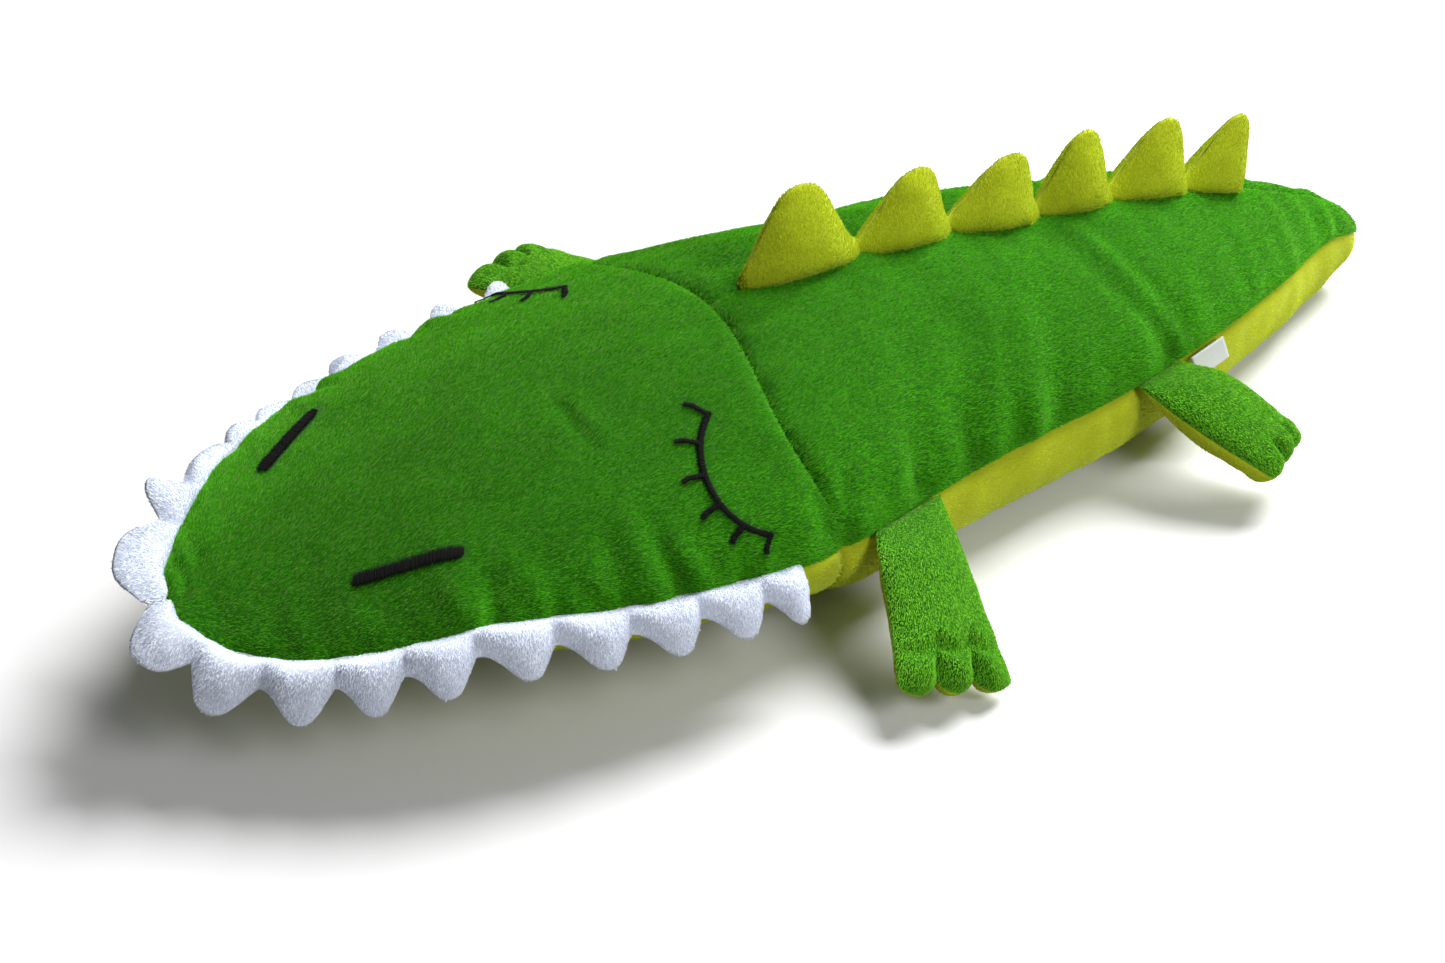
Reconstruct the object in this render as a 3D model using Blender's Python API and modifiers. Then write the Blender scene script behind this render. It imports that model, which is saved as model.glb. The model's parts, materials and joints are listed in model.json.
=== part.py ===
"""Plush crocodile: a long, flat sleeping toy, sewn from cloth panels over loose fibre filling.

Metres, +Z up. The nose points along -Y and the tail along +Y, and +X is the toy's own left.
The origin lies on the floor, under the middle of the toy. Every stuffed piece is built as it is
sewn: cloth plies that meet at a seam, and inside them a filling that is the same form made smaller.
"""
import math

import bmesh
import bpy
import numpy as np
from mathutils import Matrix, Vector
from mathutils.bvhtree import BVHTree

MM = 0.001

# Overall sizes
LENGTH = 800.0 * MM
WIDTH = 280.0 * MM
SEAM_HEIGHT = 60.0 * MM
CROWN_RISE = 87.0 * MM
BELLY_FLAT = 0.5 * MM

# Cloth, and the gap left between sewn pieces
CLOTH = 3.0 * MM
TRIM_CLOTH = 2.0 * MM
GAP = 0.3 * MM
WELD = 0.01 * MM

# Head and body, nose to tail: shares of LENGTH, of half the WIDTH, of SEAM_HEIGHT, of CROWN_RISE
# and, for the underside, of the seam's height at that station. The last column is how full the
# underside's section is: 2 is an ellipse, and more is squarer.
PROFILE_SHARES = (
    (0.00, 0.110, 1.27, 0.06, 0.93, 2.0),
    (0.03, 0.345, 1.20, 0.13, 0.74, 2.0),
    (0.08, 0.585, 1.23, 0.21, 0.52, 2.0),
    (0.16, 0.810, 1.27, 0.38, 0.34, 2.0),
    (0.26, 0.955, 1.18, 0.65, 0.14, 2.0),
    (0.36, 1.000, 1.08, 0.865, 0.04, 2.2),
    (0.46, 0.895, 1.00, 0.98, 0.00, 3.2),
    (0.56, 0.785, 1.00, 0.935, 0.00, 3.9),
    (0.66, 0.715, 0.98, 0.82, 0.00, 3.9),
    (0.76, 0.580, 0.955, 0.72, 0.00, 3.9),
    (0.86, 0.400, 0.92, 0.515, 0.00, 3.6),
    (0.94, 0.200, 0.85, 0.26, 0.06, 3.0),
    (0.98, 0.100, 0.72, 0.13, 0.40, 2.0),
    (1.00, 0.036, 0.50, 0.06, 0.80, 2.0),
)
BACK_ROUNDNESS = 2.0

# The tip of the snout lies twisted: rolled towards the toy's left side, which also comes forward
SNOUT_ROLL = math.radians(18.0)
SNOUT_TURN = math.radians(10.0)
SNOUT_TWIST_SHARE = 0.15
SNOUT_SOFTNESS = 1.2
SNOUT_SHIFT = 4.0 * MM

# Neck seam: it runs forward of the crown on each side and comes back to the crown's line at the
# side seam. Shares of LENGTH.
NECK_SHARE = 0.400
NECK_SWEEP_SHARE = 0.065

# Faces along and across each panel
HEAD_ROWS = 14
BODY_ROWS = 16
BACK_COLUMNS = 16
NOSE_CROWDING = 1.6

# Where the lengthwise edges of the underside's faces lie, as shares of the half turn from seam to seam.
# The belly lies flat on the floor between the two in the middle.
BELLY_TURN_SHARES = (0.0, 0.08, 0.165, 0.255, 0.35, 0.45, 0.55, 0.65, 0.745, 0.835, 0.92, 1.0)
BELLY_COLUMNS = len(BELLY_TURN_SHARES) - 1

# Teeth: one strip each side, sewn in the mouth seam from the middle of the nose to the cheek. Each
# tooth's width as a share of the mean, and how far it droops below level as the toy lies, in degrees.
# A tooth is pressed flatter on the side that it leans to.
TOOTH_WIDTH_SHARES = {
    "left": (1.00, 1.03, 1.03, 0.90, 0.91, 1.11, 1.12, 1.10, 1.03, 0.77),
    "right": (1.45, 0.85, 1.25, 0.85, 0.85, 0.85, 0.95, 1.00, 0.95, 1.00),
}
TOOTH_DROOP_DEGREES = {
    "left": (2.0, 30.0, 47.0, 49.0, 49.0, 50.0, 54.0, 56.0, 56.0, 50.0),
    "right": (-12.0, -20.0, 50.0, 45.0, 55.0, 45.0, 12.0, 0.0, -20.0, -48.0),
}
TEETH_END_SHARE = 0.362
TOOTH_SEAT = 1.6 * MM
TOOTH_REACH = 28.0 * MM
TOOTH_VALLEY = 10.0 * MM
TOOTH_HALF_THICKNESS = 7.5 * MM
TOOTH_PINCH = 3.2 * MM
TOOTH_PRESS_SHARE = 0.22
TOOTH_POINTEDNESS = 1.0
TOOTH_ROW_SHARES = (0.0, 0.22, 0.55, 0.84, 1.0)
TOOTH_STEPS = 4
TOOTH_WINDOW_SHARE = 0.33
SEAM_STEPS = 200

# Spikes: one strip in the centre-back seam. Base ends as shares of LENGTH, each spike's height as a
# share of SPIKE_HEIGHT, and how far its tip leans to the tail as a share of its own base.
SPIKE_BASE_SHARES = (0.426, 0.522, 0.599, 0.677, 0.743, 0.8155, 0.871)
SPIKE_HEIGHT_SHARES = (1.0, 0.82, 0.79, 0.90, 0.90, 0.94)
SPIKE_LEAN_SHARES = (0.0, 0.15, 0.20, 0.14, 0.23, 0.42)
SPIKE_HEIGHT = 51.0 * MM
SPIKE_NECK = 6.0 * MM
SPIKE_HALF_THICKNESS = 9.5 * MM
SPIKE_PINCH = 3.0 * MM
SPIKE_FRONT_POINTEDNESS = 1.0
SPIKE_BACK_POINTEDNESS = 1.3
SPIKE_ROW_SHARES = (0.0, 0.12, 0.40, 0.75, 1.0)
SPIKE_STEPS = 6

# How full a strip stays towards its pinched ends, and towards its root and edge
STRIP_FULLNESS = 0.7
EDGE_FULLNESS = 0.8
ROOT_SHIFT = 0.7

# Legs. The root is measured along the seam, and the waist and the paw square to the leg.
FRONT_LEG = {
    "root": 50.0 * MM,
    "waist": 53.0 * MM,
    "paw": 67.0 * MM,
    "length": 101.0 * MM,
    "half_thickness": 13.5 * MM,
    "toe_depth": 12.0 * MM,
}
REAR_LEG = {
    "root": 38.0 * MM,
    "waist": 48.0 * MM,
    "paw": 42.0 * MM,
    "length": 84.0 * MM,
    "half_thickness": 17.0 * MM,
    "toe_depth": 8.0 * MM,
}

# Where each leg is sewn in the side seam, as a share of LENGTH, and how it lies: its droop below
# level, and its sweep towards the tail
LEG_PLACE_SHARES = {"front_left": 0.457, "front_right": 0.443, "rear_left": 0.708, "rear_right": 0.708}
LEG_DROOPS = {
    "front_left": math.radians(32.0),
    "front_right": math.radians(10.0),
    "rear_left": math.radians(25.0),
    "rear_right": math.radians(26.0),
}
LEG_SWEEPS = {
    "front_left": math.radians(-26.0),
    "front_right": math.radians(-38.0),
    "rear_left": math.radians(16.0),
    "rear_right": math.radians(20.0),
}
SEAM_CLEARANCE = 0.5 * MM
TOES = 3
TOE_STEPS = 4
TOE_CREASE_SHARE = 0.40
TOE_ROUNDNESS = 0.6
OUTER_TOE_SHARE = 0.60
LEG_ROW_SHARES = (0.0, 0.12, 0.30, 0.55, 0.78, 0.93, 1.0)
LEG_WAIST_SHARE = 0.45
LEG_WEDGE_SHARE = 0.42
LEG_BEND_SHARE = 0.60
LEG_TIP_SHARE = 0.22

# Embroidery, stitched flat on the head: places as an angle up from the side seam and a share of LENGTH
STITCH_THICKNESS = 1.0 * MM
STITCH_SEAT = 0.8 * MM
NOSTRIL_ANGLE = math.radians(52.0)
NOSTRIL_PLACE_SHARES = {"left": 0.133, "right": 0.125}
NOSTRIL_LENGTH = 50.0 * MM
NOSTRIL_WIDTH = 6.0 * MM
NOSTRIL_TURN = math.radians(14.0)
NOSTRIL_STEPS = 4
EYE_ANGLE = math.radians(38.5)
EYE_SHARE = 0.345
EYE_CHORD = 74.0 * MM
EYE_SAG = 22.0 * MM
EYE_LINE = 2.8 * MM
LASH_LENGTH = 12.5 * MM
LASH_WIDTH = 2.4 * MM
LASHES = 6
LOOK_OUT = 10.0 * MM
LOOK_TURN = math.radians(1.0)

# Sewn label, left bare, hanging from the left side seam behind the rear leg
LABEL_SHARE = 0.760
LABEL_WIDTH = 32.0 * MM
LABEL_DROP = 13.0 * MM
LABEL_THICKNESS = 0.8 * MM
LABEL_CORNER = 3.0 * MM
LABEL_DROOP = math.radians(62.0)
LABEL_CORNER_STEPS = 4

GREEN = (0.085, 0.290, 0.022)
YELLOW = (0.430, 0.470, 0.035)
WHITE = (0.720, 0.740, 0.800)
BLACK = (0.006, 0.006, 0.006)
FIBRE = (0.800, 0.800, 0.780)
LABEL_WHITE = (0.850, 0.850, 0.850)
CLOTH_ROUGHNESS = 0.95
THREAD_ROUGHNESS = 0.70
SHARP_ANGLE = math.radians(50.0)


def clear_scene():
    for old in list(bpy.data.objects):
        bpy.data.objects.remove(old, do_unlink=True)


def make_collection(name):
    collection = bpy.data.collections.new(name)
    bpy.context.scene.collection.children.link(collection)
    return collection


def make_material(name, colour, roughness):
    material = bpy.data.materials.new(name)
    material.use_nodes = True
    shader = material.node_tree.nodes["Principled BSDF"]
    shader.inputs["Base Color"].default_value = (*colour, 1.0)
    shader.inputs["Roughness"].default_value = roughness
    shader.inputs["Metallic"].default_value = 0.0
    material.diffuse_color = (*colour, 1.0)
    return material


# Profile of head and body

def smooth_through(stations, values, position):
    """A smooth curve through the values that never swings past them."""
    widths = np.diff(stations)
    slopes = np.diff(values) / widths
    tangents = np.zeros(len(values))
    for index in range(1, len(values) - 1):
        before, after = slopes[index - 1], slopes[index]
        if before * after > 0.0:
            tangents[index] = 2.0 * before * after / (before + after)
    tangents[0], tangents[-1] = slopes[0], slopes[-1]
    cell = int(np.clip(np.searchsorted(stations, position) - 1, 0, len(widths) - 1))
    t = np.clip((position - stations[cell]) / widths[cell], 0.0, 1.0)
    rise = t * t * (3.0 - 2.0 * t)
    start = t * (1.0 - t) ** 2 * widths[cell] * tangents[cell]
    end = t * t * (t - 1.0) * widths[cell] * tangents[cell + 1]
    return values[cell] * (1.0 - rise) + values[cell + 1] * rise + start + end


def station(y, inset=0.0):
    """Half width, seam height, rise, depth and underside's fullness, for a form made smaller all round."""
    nose = -LENGTH / 2 + inset
    share = (y - nose) / (LENGTH - 2 * inset)
    table = np.array(PROFILE_SHARES)
    width, seam, rise, under, full = (smooth_through(table[:, 0], values, share) for values in table.T[1:])
    seam_z = seam * SEAM_HEIGHT
    half_width = width * WIDTH / 2 - inset
    depth = seam_z * (1.0 - under) + BELLY_FLAT - inset
    return half_width, seam_z, rise * CROWN_RISE - inset, depth, full


def body_point(y, angle, inset=0.0):
    """Point of the skin at y. Angle 0 is the left seam, a quarter turn the crown, three quarters the belly."""
    half_width, seam_z, rise, depth, full = station(y, inset)
    above = math.sin(angle) >= 0.0
    power = 2.0 / (BACK_ROUNDNESS if above else full)
    across = math.copysign(abs(math.cos(angle)) ** power, math.cos(angle))
    up = abs(math.sin(angle)) ** power * (rise if above else -depth)
    return np.array((half_width * across, y, max(seam_z + up, 0.0)))


def neck_y(angle):
    """The neck seam's y at an angle round the body."""
    crown = (NECK_SHARE - 0.5) * LENGTH
    if math.sin(angle) < 0.0:
        return crown
    across = math.cos(angle) ** 2
    return crown - across * (1.0 - across) * NECK_SWEEP_SHARE * LENGTH


def twist_snout(points):
    """Where points of the head lie once the tip of the snout is twisted, less and less towards the eyes."""
    share = np.clip(points[..., 1] / LENGTH + 0.5, 0.0, SNOUT_TWIST_SHARE)
    twist = (1.0 - share / SNOUT_TWIST_SHARE) ** SNOUT_SOFTNESS
    pivot = PROFILE_SHARES[0][2] * SEAM_HEIGHT
    x, y, z = points[..., 0], points[..., 1], points[..., 2] - pivot
    cos, sin = np.cos(twist * SNOUT_ROLL), np.sin(twist * SNOUT_ROLL)
    across = x * cos + z * sin
    forward = y - across * twist * math.tan(SNOUT_TURN)
    return np.stack((across + twist * SNOUT_SHIFT, forward, z * cos - x * sin + pivot), axis=-1)


def head_grid(angles, inset):
    """Rows run from the nose to the neck seam, crowded at the nose."""
    rows = []
    for row in range(HEAD_ROWS + 1):
        share = (row / HEAD_ROWS) ** NOSE_CROWDING
        nose = -LENGTH / 2 + inset
        rows.append([body_point(nose + share * (neck_y(a) - GAP / 2 - nose), a, inset) for a in angles])
    return np.array(rows)


def body_grid(angles, inset):
    """Rows run from the neck seam to the tail, crowded at the tail."""
    rows = []
    for row in range(BODY_ROWS + 1):
        share = 1.0 - (1.0 - row / BODY_ROWS) ** NOSE_CROWDING
        tail = LENGTH / 2 - inset
        rows.append([body_point(tail + (1.0 - share) * (neck_y(a) + GAP / 2 - tail), a, inset) for a in angles])
    return np.array(rows)


def back_angles(first_quarter, last_quarter):
    columns = BACK_COLUMNS * (last_quarter - first_quarter) // 2
    return [math.pi / 2 * (first_quarter + (last_quarter - first_quarter) * c / columns) for c in range(columns + 1)]


def belly_angles():
    return [math.pi * (1.0 + share) for share in BELLY_TURN_SHARES]


# Solids from grids of points

def cell_faces(here, beside, across, ahead, turned=False):
    """Two triangles, always split the same way, so that surfaces one inside the other stay parallel."""
    if turned:
        return [(here, beside, ahead), (beside, across, ahead)]
    return [(here, beside, across), (here, across, ahead)]


def grid_faces(rows, columns, first, pillow):
    """Faces of a grid. A pillow's grid meets its twin all round, so its cells are split towards its middle."""
    faces = []
    for row in range(rows - 1):
        for column in range(columns - 1):
            here = first + row * columns + column
            turned = pillow and (row < rows // 2) != (column < columns // 2)
            faces += cell_faces(here, here + 1, here + columns + 1, here + columns, turned)
    return faces


def border(rows, columns, first):
    """Indices round the edge of a grid, in order."""
    top = [first + c for c in range(columns)]
    right = [first + r * columns + columns - 1 for r in range(1, rows)]
    bottom = [first + (rows - 1) * columns + c for c in range(columns - 2, -1, -1)]
    left = [first + r * columns for r in range(rows - 2, 0, -1)]
    return top + right + bottom + left


def wall_faces(outside, inside, turn):
    """The cut edge of a cloth. Past the turn the border runs back, and the triangles are turned to match
    those of the cloth that faces them across the seam."""
    faces = []
    for here in range(len(outside)):
        after = (here + 1) % len(outside)
        first, last = (here, after) if here < turn else (after, here)
        faces += [(outside[first], outside[last], inside[last]), (outside[first], inside[last], inside[first])]
    return faces


def add_solid(name, points, faces, material, collection, origin=(0.0, 0.0, 0.0)):
    """An object with its origin at the given place and its faces all turned outwards."""
    mesh = bpy.data.meshes.new(name)
    mesh.from_pydata([Vector(p) - Vector(origin) for p in points], [], faces)
    form = bmesh.new()
    form.from_mesh(mesh)
    bmesh.ops.remove_doubles(form, verts=form.verts, dist=WELD)
    bmesh.ops.recalc_face_normals(form, faces=form.faces)
    form.to_mesh(mesh)
    form.free()
    mesh.shade_smooth()
    mesh.set_sharp_from_angle(angle=SHARP_ANGLE)
    mesh.materials.append(material)
    solid = bpy.data.objects.new(name, mesh)
    solid.location = origin
    collection.objects.link(solid)
    return solid


def add_cloth(name, outer, inner, material, collection, pillow=False, origin=(0.0, 0.0, 0.0)):
    """A ply of cloth: two equal grids, joined round their edges."""
    rows, columns = outer.shape[:2]
    count = rows * columns
    points = np.concatenate((outer.reshape(-1, 3), inner.reshape(-1, 3)))
    faces = grid_faces(rows, columns, 0, pillow) + grid_faces(rows, columns, count, pillow)
    faces += wall_faces(border(rows, columns, 0), border(rows, columns, count), rows + columns - 2)
    return add_solid(name, points, faces, material, collection, origin)


def add_filling(name, upper, lower, material, collection, origin=(0.0, 0.0, 0.0)):
    """A filling: two grids that share their edges."""
    rows, columns = upper.shape[:2]
    points = np.concatenate((upper.reshape(-1, 3), lower.reshape(-1, 3)))
    faces = grid_faces(rows, columns, 0, True) + grid_faces(rows, columns, rows * columns, True)
    return add_solid(name, points, faces, material, collection, origin)


def add_tube_filling(name, grid, material, collection):
    """The filling of head or body: rings of points, capped by strips that run across each end."""
    rows, columns = grid.shape[:2]
    points = grid.reshape(-1, 3)
    faces = []
    for row in range(rows - 1):
        for column in range(columns):
            here, beside = row * columns + column, row * columns + (column + 1) % columns
            faces += cell_faces(here, beside, beside + columns, here + columns)
    for first in (0, (rows - 1) * columns):
        faces += ring_cap(first)
    return add_solid(name, points, faces, material, collection)


def ring_cap(first):
    """Triangles across a ring, from the left seam to the right. Both sides of the neck get the same ones."""
    upper = [first + c for c in range(BACK_COLUMNS + 1)]
    count = BACK_COLUMNS + BELLY_COLUMNS
    lower = [first + (count - c) % count for c in range(BELLY_COLUMNS + 1)]
    faces = []
    up, low = 0, 0
    while up < BACK_COLUMNS or low < BELLY_COLUMNS:
        up_next = up < BACK_COLUMNS and (low == BELLY_COLUMNS or up / BACK_COLUMNS <= low / BELLY_COLUMNS)
        if up_next:
            triangle = (upper[up], upper[up + 1], lower[low])
            up += 1
        else:
            triangle = (upper[up], lower[low + 1], lower[low])
            low += 1
        if len(set(triangle)) == 3:
            faces.append(triangle)
    return faces


# Panels and fillings of head and body

def off_seam(grid, edges, lift):
    """Moves a panel's edge columns off the side seam by half the gap."""
    for edge in edges:
        grid[:, edge, 2] += lift
    return grid


def beside_centre(grid, side):
    """Draws a panel's edge back from the centre-back seam by half the gap."""
    grid[:, :, 0] = side * np.maximum(side * grid[:, :, 0], GAP / 2)
    return grid


def build_head(materials, collection):
    over, under = back_angles(0, 2), belly_angles()
    panels = {}
    for name, angles, lift, cloth in (("head_top_panel", over, GAP / 2, "green_plush"),
                                      ("jaw_panel", under, -GAP / 2, "yellow_plush")):
        outer, inner = (twist_snout(off_seam(head_grid(angles, inset), (0, -1), lift)) for inset in (0.0, CLOTH))
        panels[name] = add_cloth(name, outer, inner, materials[cloth], collection)
    rings = twist_snout(head_grid(over + under[1:-1], CLOTH + GAP))
    add_tube_filling("head_filling", rings, materials["fibre_filling"], collection)
    return panels["head_top_panel"]


def build_body(materials, collection):
    for side, name, quarters, seam in ((1, "left", (0, 1), (0,)), (-1, "right", (1, 2), (-1,))):
        angles = back_angles(*quarters)
        outer = beside_centre(off_seam(body_grid(angles, 0.0), seam, GAP / 2), side)
        inner = beside_centre(off_seam(body_grid(angles, CLOTH), seam, GAP / 2), side)
        add_cloth(f"back_panel_{name}", outer, inner, materials["green_plush"], collection)
    under = belly_angles()
    add_cloth("belly_panel", off_seam(body_grid(under, 0.0), (0, -1), -GAP / 2),
              off_seam(body_grid(under, CLOTH), (0, -1), -GAP / 2), materials["yellow_plush"], collection)
    rings = body_grid(back_angles(0, 2) + under[1:-1], CLOTH + GAP)
    add_tube_filling("body_filling", rings, materials["fibre_filling"], collection)


# Strips sewn in a seam

def bell(position, pointedness, narrowing=0.0):
    """1 at the middle of a tooth or spike and 0 at its ends, or nearer in by a share of its width."""
    return max(math.cos(math.pi * (position - 0.5) / (1.0 - 2.0 * narrowing)), 0.0) ** pointedness


def strip_columns(count, steps):
    """For each column of a strip: which tooth or spike it is on, and where on it."""
    columns = [(index, step / steps) for index in range(count) for step in range(steps)]
    return columns + [(count - 1, 1.0)]


def strip_swell(index, position, count, full, pinch):
    """Half thickness along a strip: full in the middle of each tooth, pinched between, closed at both ends."""
    at_end = (index == 0 and position < 0.5) or (index == count - 1 and position > 0.5)
    low = 0.0 if at_end else pinch
    return low + (full - low) * max(math.cos(math.pi * (position - 0.5)), 0.0) ** STRIP_FULLNESS


def row_swell(share):
    """Half thickness across a strip, from its root to its edge: nothing at either."""
    return math.sin(math.pi * share ** ROOT_SHIFT) ** EDGE_FULLNESS if 0.0 < share < 1.0 else 0.0


def seam_walk():
    """The left mouth seam as points, with the length walked to each."""
    last = (TEETH_END_SHARE - 0.5) * LENGTH
    path = [np.array((0.0, -LENGTH / 2, station(-LENGTH / 2)[1]))]
    for step in range(SEAM_STEPS + 1):
        y = -LENGTH / 2 + (step / SEAM_STEPS) ** NOSE_CROWDING * (last + LENGTH / 2)
        half_width, seam_z = station(y)[:2]
        path.append(np.array((half_width, y, seam_z)))
    walked = np.concatenate(([0.0], np.cumsum([np.linalg.norm(b - a) for a, b in zip(path, path[1:])])))
    return np.array(path), walked


def seam_at(path, walked, distance):
    return np.array([np.interp(distance, walked, path[:, axis]) for axis in range(3)])


def tooth_grid(side, face, seam_gap, inset):
    """A ply of the tooth strip. face is 1 for the upper ply and -1 for the lower."""
    path, walked = seam_walk()
    start, end = GAP / 2 + inset, walked[-1] - inset
    name = "left" if side > 0 else "right"
    shares = np.array(TOOTH_WIDTH_SHARES[name])
    count = len(shares)
    widths = shares * walked[-1] / shares.sum()
    ends = np.concatenate(([0.0], np.cumsum(widths)))
    window = widths.mean() * TOOTH_WINDOW_SHARE
    columns = []
    for index, position in strip_columns(count, TOOTH_STEPS):
        distance = min(max(ends[index] + position * widths[index], start), end)
        droop = math.radians(np.interp(distance, ends[:-1] + widths / 2, TOOTH_DROOP_DEGREES[name]))
        here = seam_at(path, walked, distance)
        ahead = seam_at(path, walked, min(distance + window, walked[-1]))
        behind = seam_at(path, walked, max(distance - window, 0.0))
        along = ahead - behind
        outward = np.array((along[1], -along[0], 0.0)) / math.hypot(along[0], along[1])
        narrowing = inset / widths[index]
        reach = TOOTH_VALLEY + (TOOTH_REACH - TOOTH_VALLEY) * bell(position, TOOTH_POINTEDNESS, narrowing)
        pressed = 1.0 - TOOTH_PRESS_SHARE * max(-face * math.sin(droop), 0.0)
        swell = strip_swell(index, position, count, pressed * TOOTH_HALF_THICKNESS - inset,
                            pressed * TOOTH_PINCH - inset)
        down = np.array((0.0, 0.0, -1.0))
        out = outward * math.cos(droop) + down * math.sin(droop)
        normal = outward * math.sin(droop) - down * math.cos(droop)
        column = []
        for share in TOOTH_ROW_SHARES:
            point = here + out * (TOOTH_SEAT + inset + share * (reach - 2 * inset))
            point = point + normal * face * (seam_gap + swell * row_swell(share))
            column.append(point * (side, 1.0, 1.0))
        columns.append(column)
    return twist_snout(np.array(columns))


def build_teeth(materials, collection):
    for side, name in ((1, "left"), (-1, "right")):
        for face, ply in ((1, "upper"), (-1, "lower")):
            outer = tooth_grid(side, face, GAP / 2, 0.0)
            inner = tooth_grid(side, face, GAP / 2, TRIM_CLOTH)
            add_cloth(f"teeth_{name}_{ply}_ply", outer, inner, materials["white_plush"], collection, pillow=True)
        inset = TRIM_CLOTH + GAP
        add_filling(f"teeth_{name}_filling", tooth_grid(side, 1, 0.0, inset), tooth_grid(side, -1, 0.0, inset),
                    materials["fibre_filling"], collection)


def spike_grid(side, seam_gap, inset):
    """A ply of the spike strip, standing on the centre-back seam."""
    first = (SPIKE_BASE_SHARES[0] - 0.5) * LENGTH + inset
    last = (SPIKE_BASE_SHARES[-1] - 0.5) * LENGTH - inset
    count = len(SPIKE_HEIGHT_SHARES)
    columns = []
    for index, position in strip_columns(count, SPIKE_STEPS):
        start, end = ((SPIKE_BASE_SHARES[index + n] - 0.5) * LENGTH for n in (0, 1))
        y = min(max(start + position * (end - start), first), last)
        pointedness = SPIKE_FRONT_POINTEDNESS if position < 0.5 else SPIKE_BACK_POINTEDNESS
        rise = SPIKE_HEIGHT_SHARES[index] * SPIKE_HEIGHT - SPIKE_NECK
        lift = bell(position, pointedness)
        lean = SPIKE_LEAN_SHARES[index] * (end - start) * lift / (SPIKE_NECK + rise * lift)
        height = SPIKE_NECK + rise * bell(position, pointedness, inset / (end - start))
        swell = strip_swell(index, position, count, SPIKE_HALF_THICKNESS - inset, SPIKE_PINCH - inset)
        column = []
        for share in SPIKE_ROW_SHARES:
            up = inset + share * (height - 2 * inset)
            base = body_point(y + up * lean, math.pi / 2)[2]
            column.append((side * (seam_gap + swell * row_swell(share)), y + up * lean, base + GAP + up))
        columns.append(column)
    return np.array(columns)


def build_spikes(materials, collection):
    for side, name in ((1, "left"), (-1, "right")):
        add_cloth(f"spikes_{name}_ply", spike_grid(side, GAP / 2, 0.0), spike_grid(side, GAP / 2, TRIM_CLOTH),
                  materials["yellow_plush"], collection, pillow=True)
    inset = TRIM_CLOTH + GAP
    add_filling("spikes_filling", spike_grid(1, 0.0, inset), spike_grid(-1, 0.0, inset),
                materials["fibre_filling"], collection)


# Legs

def seam_frame(place_share, width, droop, side):
    """Hinge point and axes of a flap sewn in the side seam: along the seam, out along the flap, and up from it."""
    middle = (place_share - 0.5) * LENGTH
    ends = []
    for y in (middle - width / 2, middle + width / 2):
        half_width, seam_z = station(y)[:2]
        ends.append(np.array((half_width, y, seam_z)))
    along = ends[1] - ends[0]
    along = along / np.linalg.norm(along)
    outward = np.array((along[1], -along[0], 0.0)) / math.hypot(along[0], along[1])
    level = np.cross(outward, along)
    out = outward * math.cos(droop) - level * math.sin(droop)
    normal = outward * math.sin(droop) + level * math.cos(droop)
    hinge = (ends[0] + ends[1]) / 2 + outward * SEAM_CLEARANCE
    mirror = np.array((side, 1.0, 1.0))
    return hinge * mirror, along * mirror, out * mirror, normal * mirror


def toe_lobe(across):
    """1 on the middle of a toe and 0 between toes and at the paw's two sides."""
    return abs(math.cos(TOES * math.pi / 2 * across))


def leg_grid(leg, frame, sweep, face, seam_gap, inset):
    """A ply of a leg. It is a wedge at its seam, so that it can hinge, bends by its sweep and ends in toes."""
    hinge, along, out, normal = frame
    centre = out * math.cos(sweep) + along * math.sin(sweep)
    columns = TOES * TOE_STEPS
    widths = np.array((leg["root"], leg["waist"], leg["paw"]))
    rows = []
    for share in LEG_ROW_SHARES:
        half_width = smooth_through(np.array((0.0, LEG_WAIST_SHARE, 1.0)), widths, share) / 2 - inset
        wedge = min(share / LEG_WEDGE_SHARE, 1.0)
        tip = max((share - 1.0 + LEG_TIP_SHARE) / LEG_TIP_SHARE, 0.0)
        thickness = (leg["half_thickness"] - inset) * (1.0 - (1.0 - wedge) ** 2) * math.sqrt(1.0 - tip ** 2)
        turn = sweep * smooth_through(np.array((0.0, LEG_BEND_SHARE, 1.0)), np.array((0.0, 1.0, 1.0)), share)
        sideways = along * math.cos(turn) - out * math.sin(turn)
        row = []
        for column in range(columns + 1):
            across = 2.0 * column / columns - 1.0
            lobe = toe_lobe(across)
            shortening = (1.0 - lobe ** TOE_ROUNDNESS) * (1.0 - (1.0 - OUTER_TOE_SHARE) * abs(across))
            reach = GAP + inset + share * (leg["length"] - leg["toe_depth"] * shortening - 2 * inset)
            crease = 1.0 - TOE_CREASE_SHARE * (1.0 - lobe) * tip
            if abs(across) > 1.0 - 1.0 / TOES:
                crease = 1.0
            swell = thickness * crease * math.sqrt(max(1.0 - across ** 2, 0.0))
            point = hinge + centre * reach + sideways * half_width * across
            row.append(point + normal * face * (seam_gap + swell))
        rows.append(row)
    return np.array(rows)


def build_leg(place, leg, side, materials, collection):
    frame = seam_frame(LEG_PLACE_SHARES[place], leg["root"], LEG_DROOPS[place], side)
    sweep = LEG_SWEEPS[place]
    hinge = frame[0]
    for face, ply, cloth in ((1, "upper", "green_plush"), (-1, "sole", "yellow_plush")):
        outer = leg_grid(leg, frame, sweep, face, GAP / 2, 0.0)
        inner = leg_grid(leg, frame, sweep, face, GAP / 2, CLOTH)
        add_cloth(f"leg_{place}_{ply}_ply", outer, inner, materials[cloth], collection, True, hinge)
    upper, lower = (leg_grid(leg, frame, sweep, face, 0.0, CLOTH + GAP) for face in (1, -1))
    add_filling(f"leg_{place}_filling", upper, lower, materials["fibre_filling"], collection, hinge)


def build_legs(materials, collection):
    for end, leg in (("front", FRONT_LEG), ("rear", REAR_LEG)):
        for side, name in ((1, "left"), (-1, "right")):
            build_leg(f"{end}_{name}", leg, side, materials, collection)


# Embroidery

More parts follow.
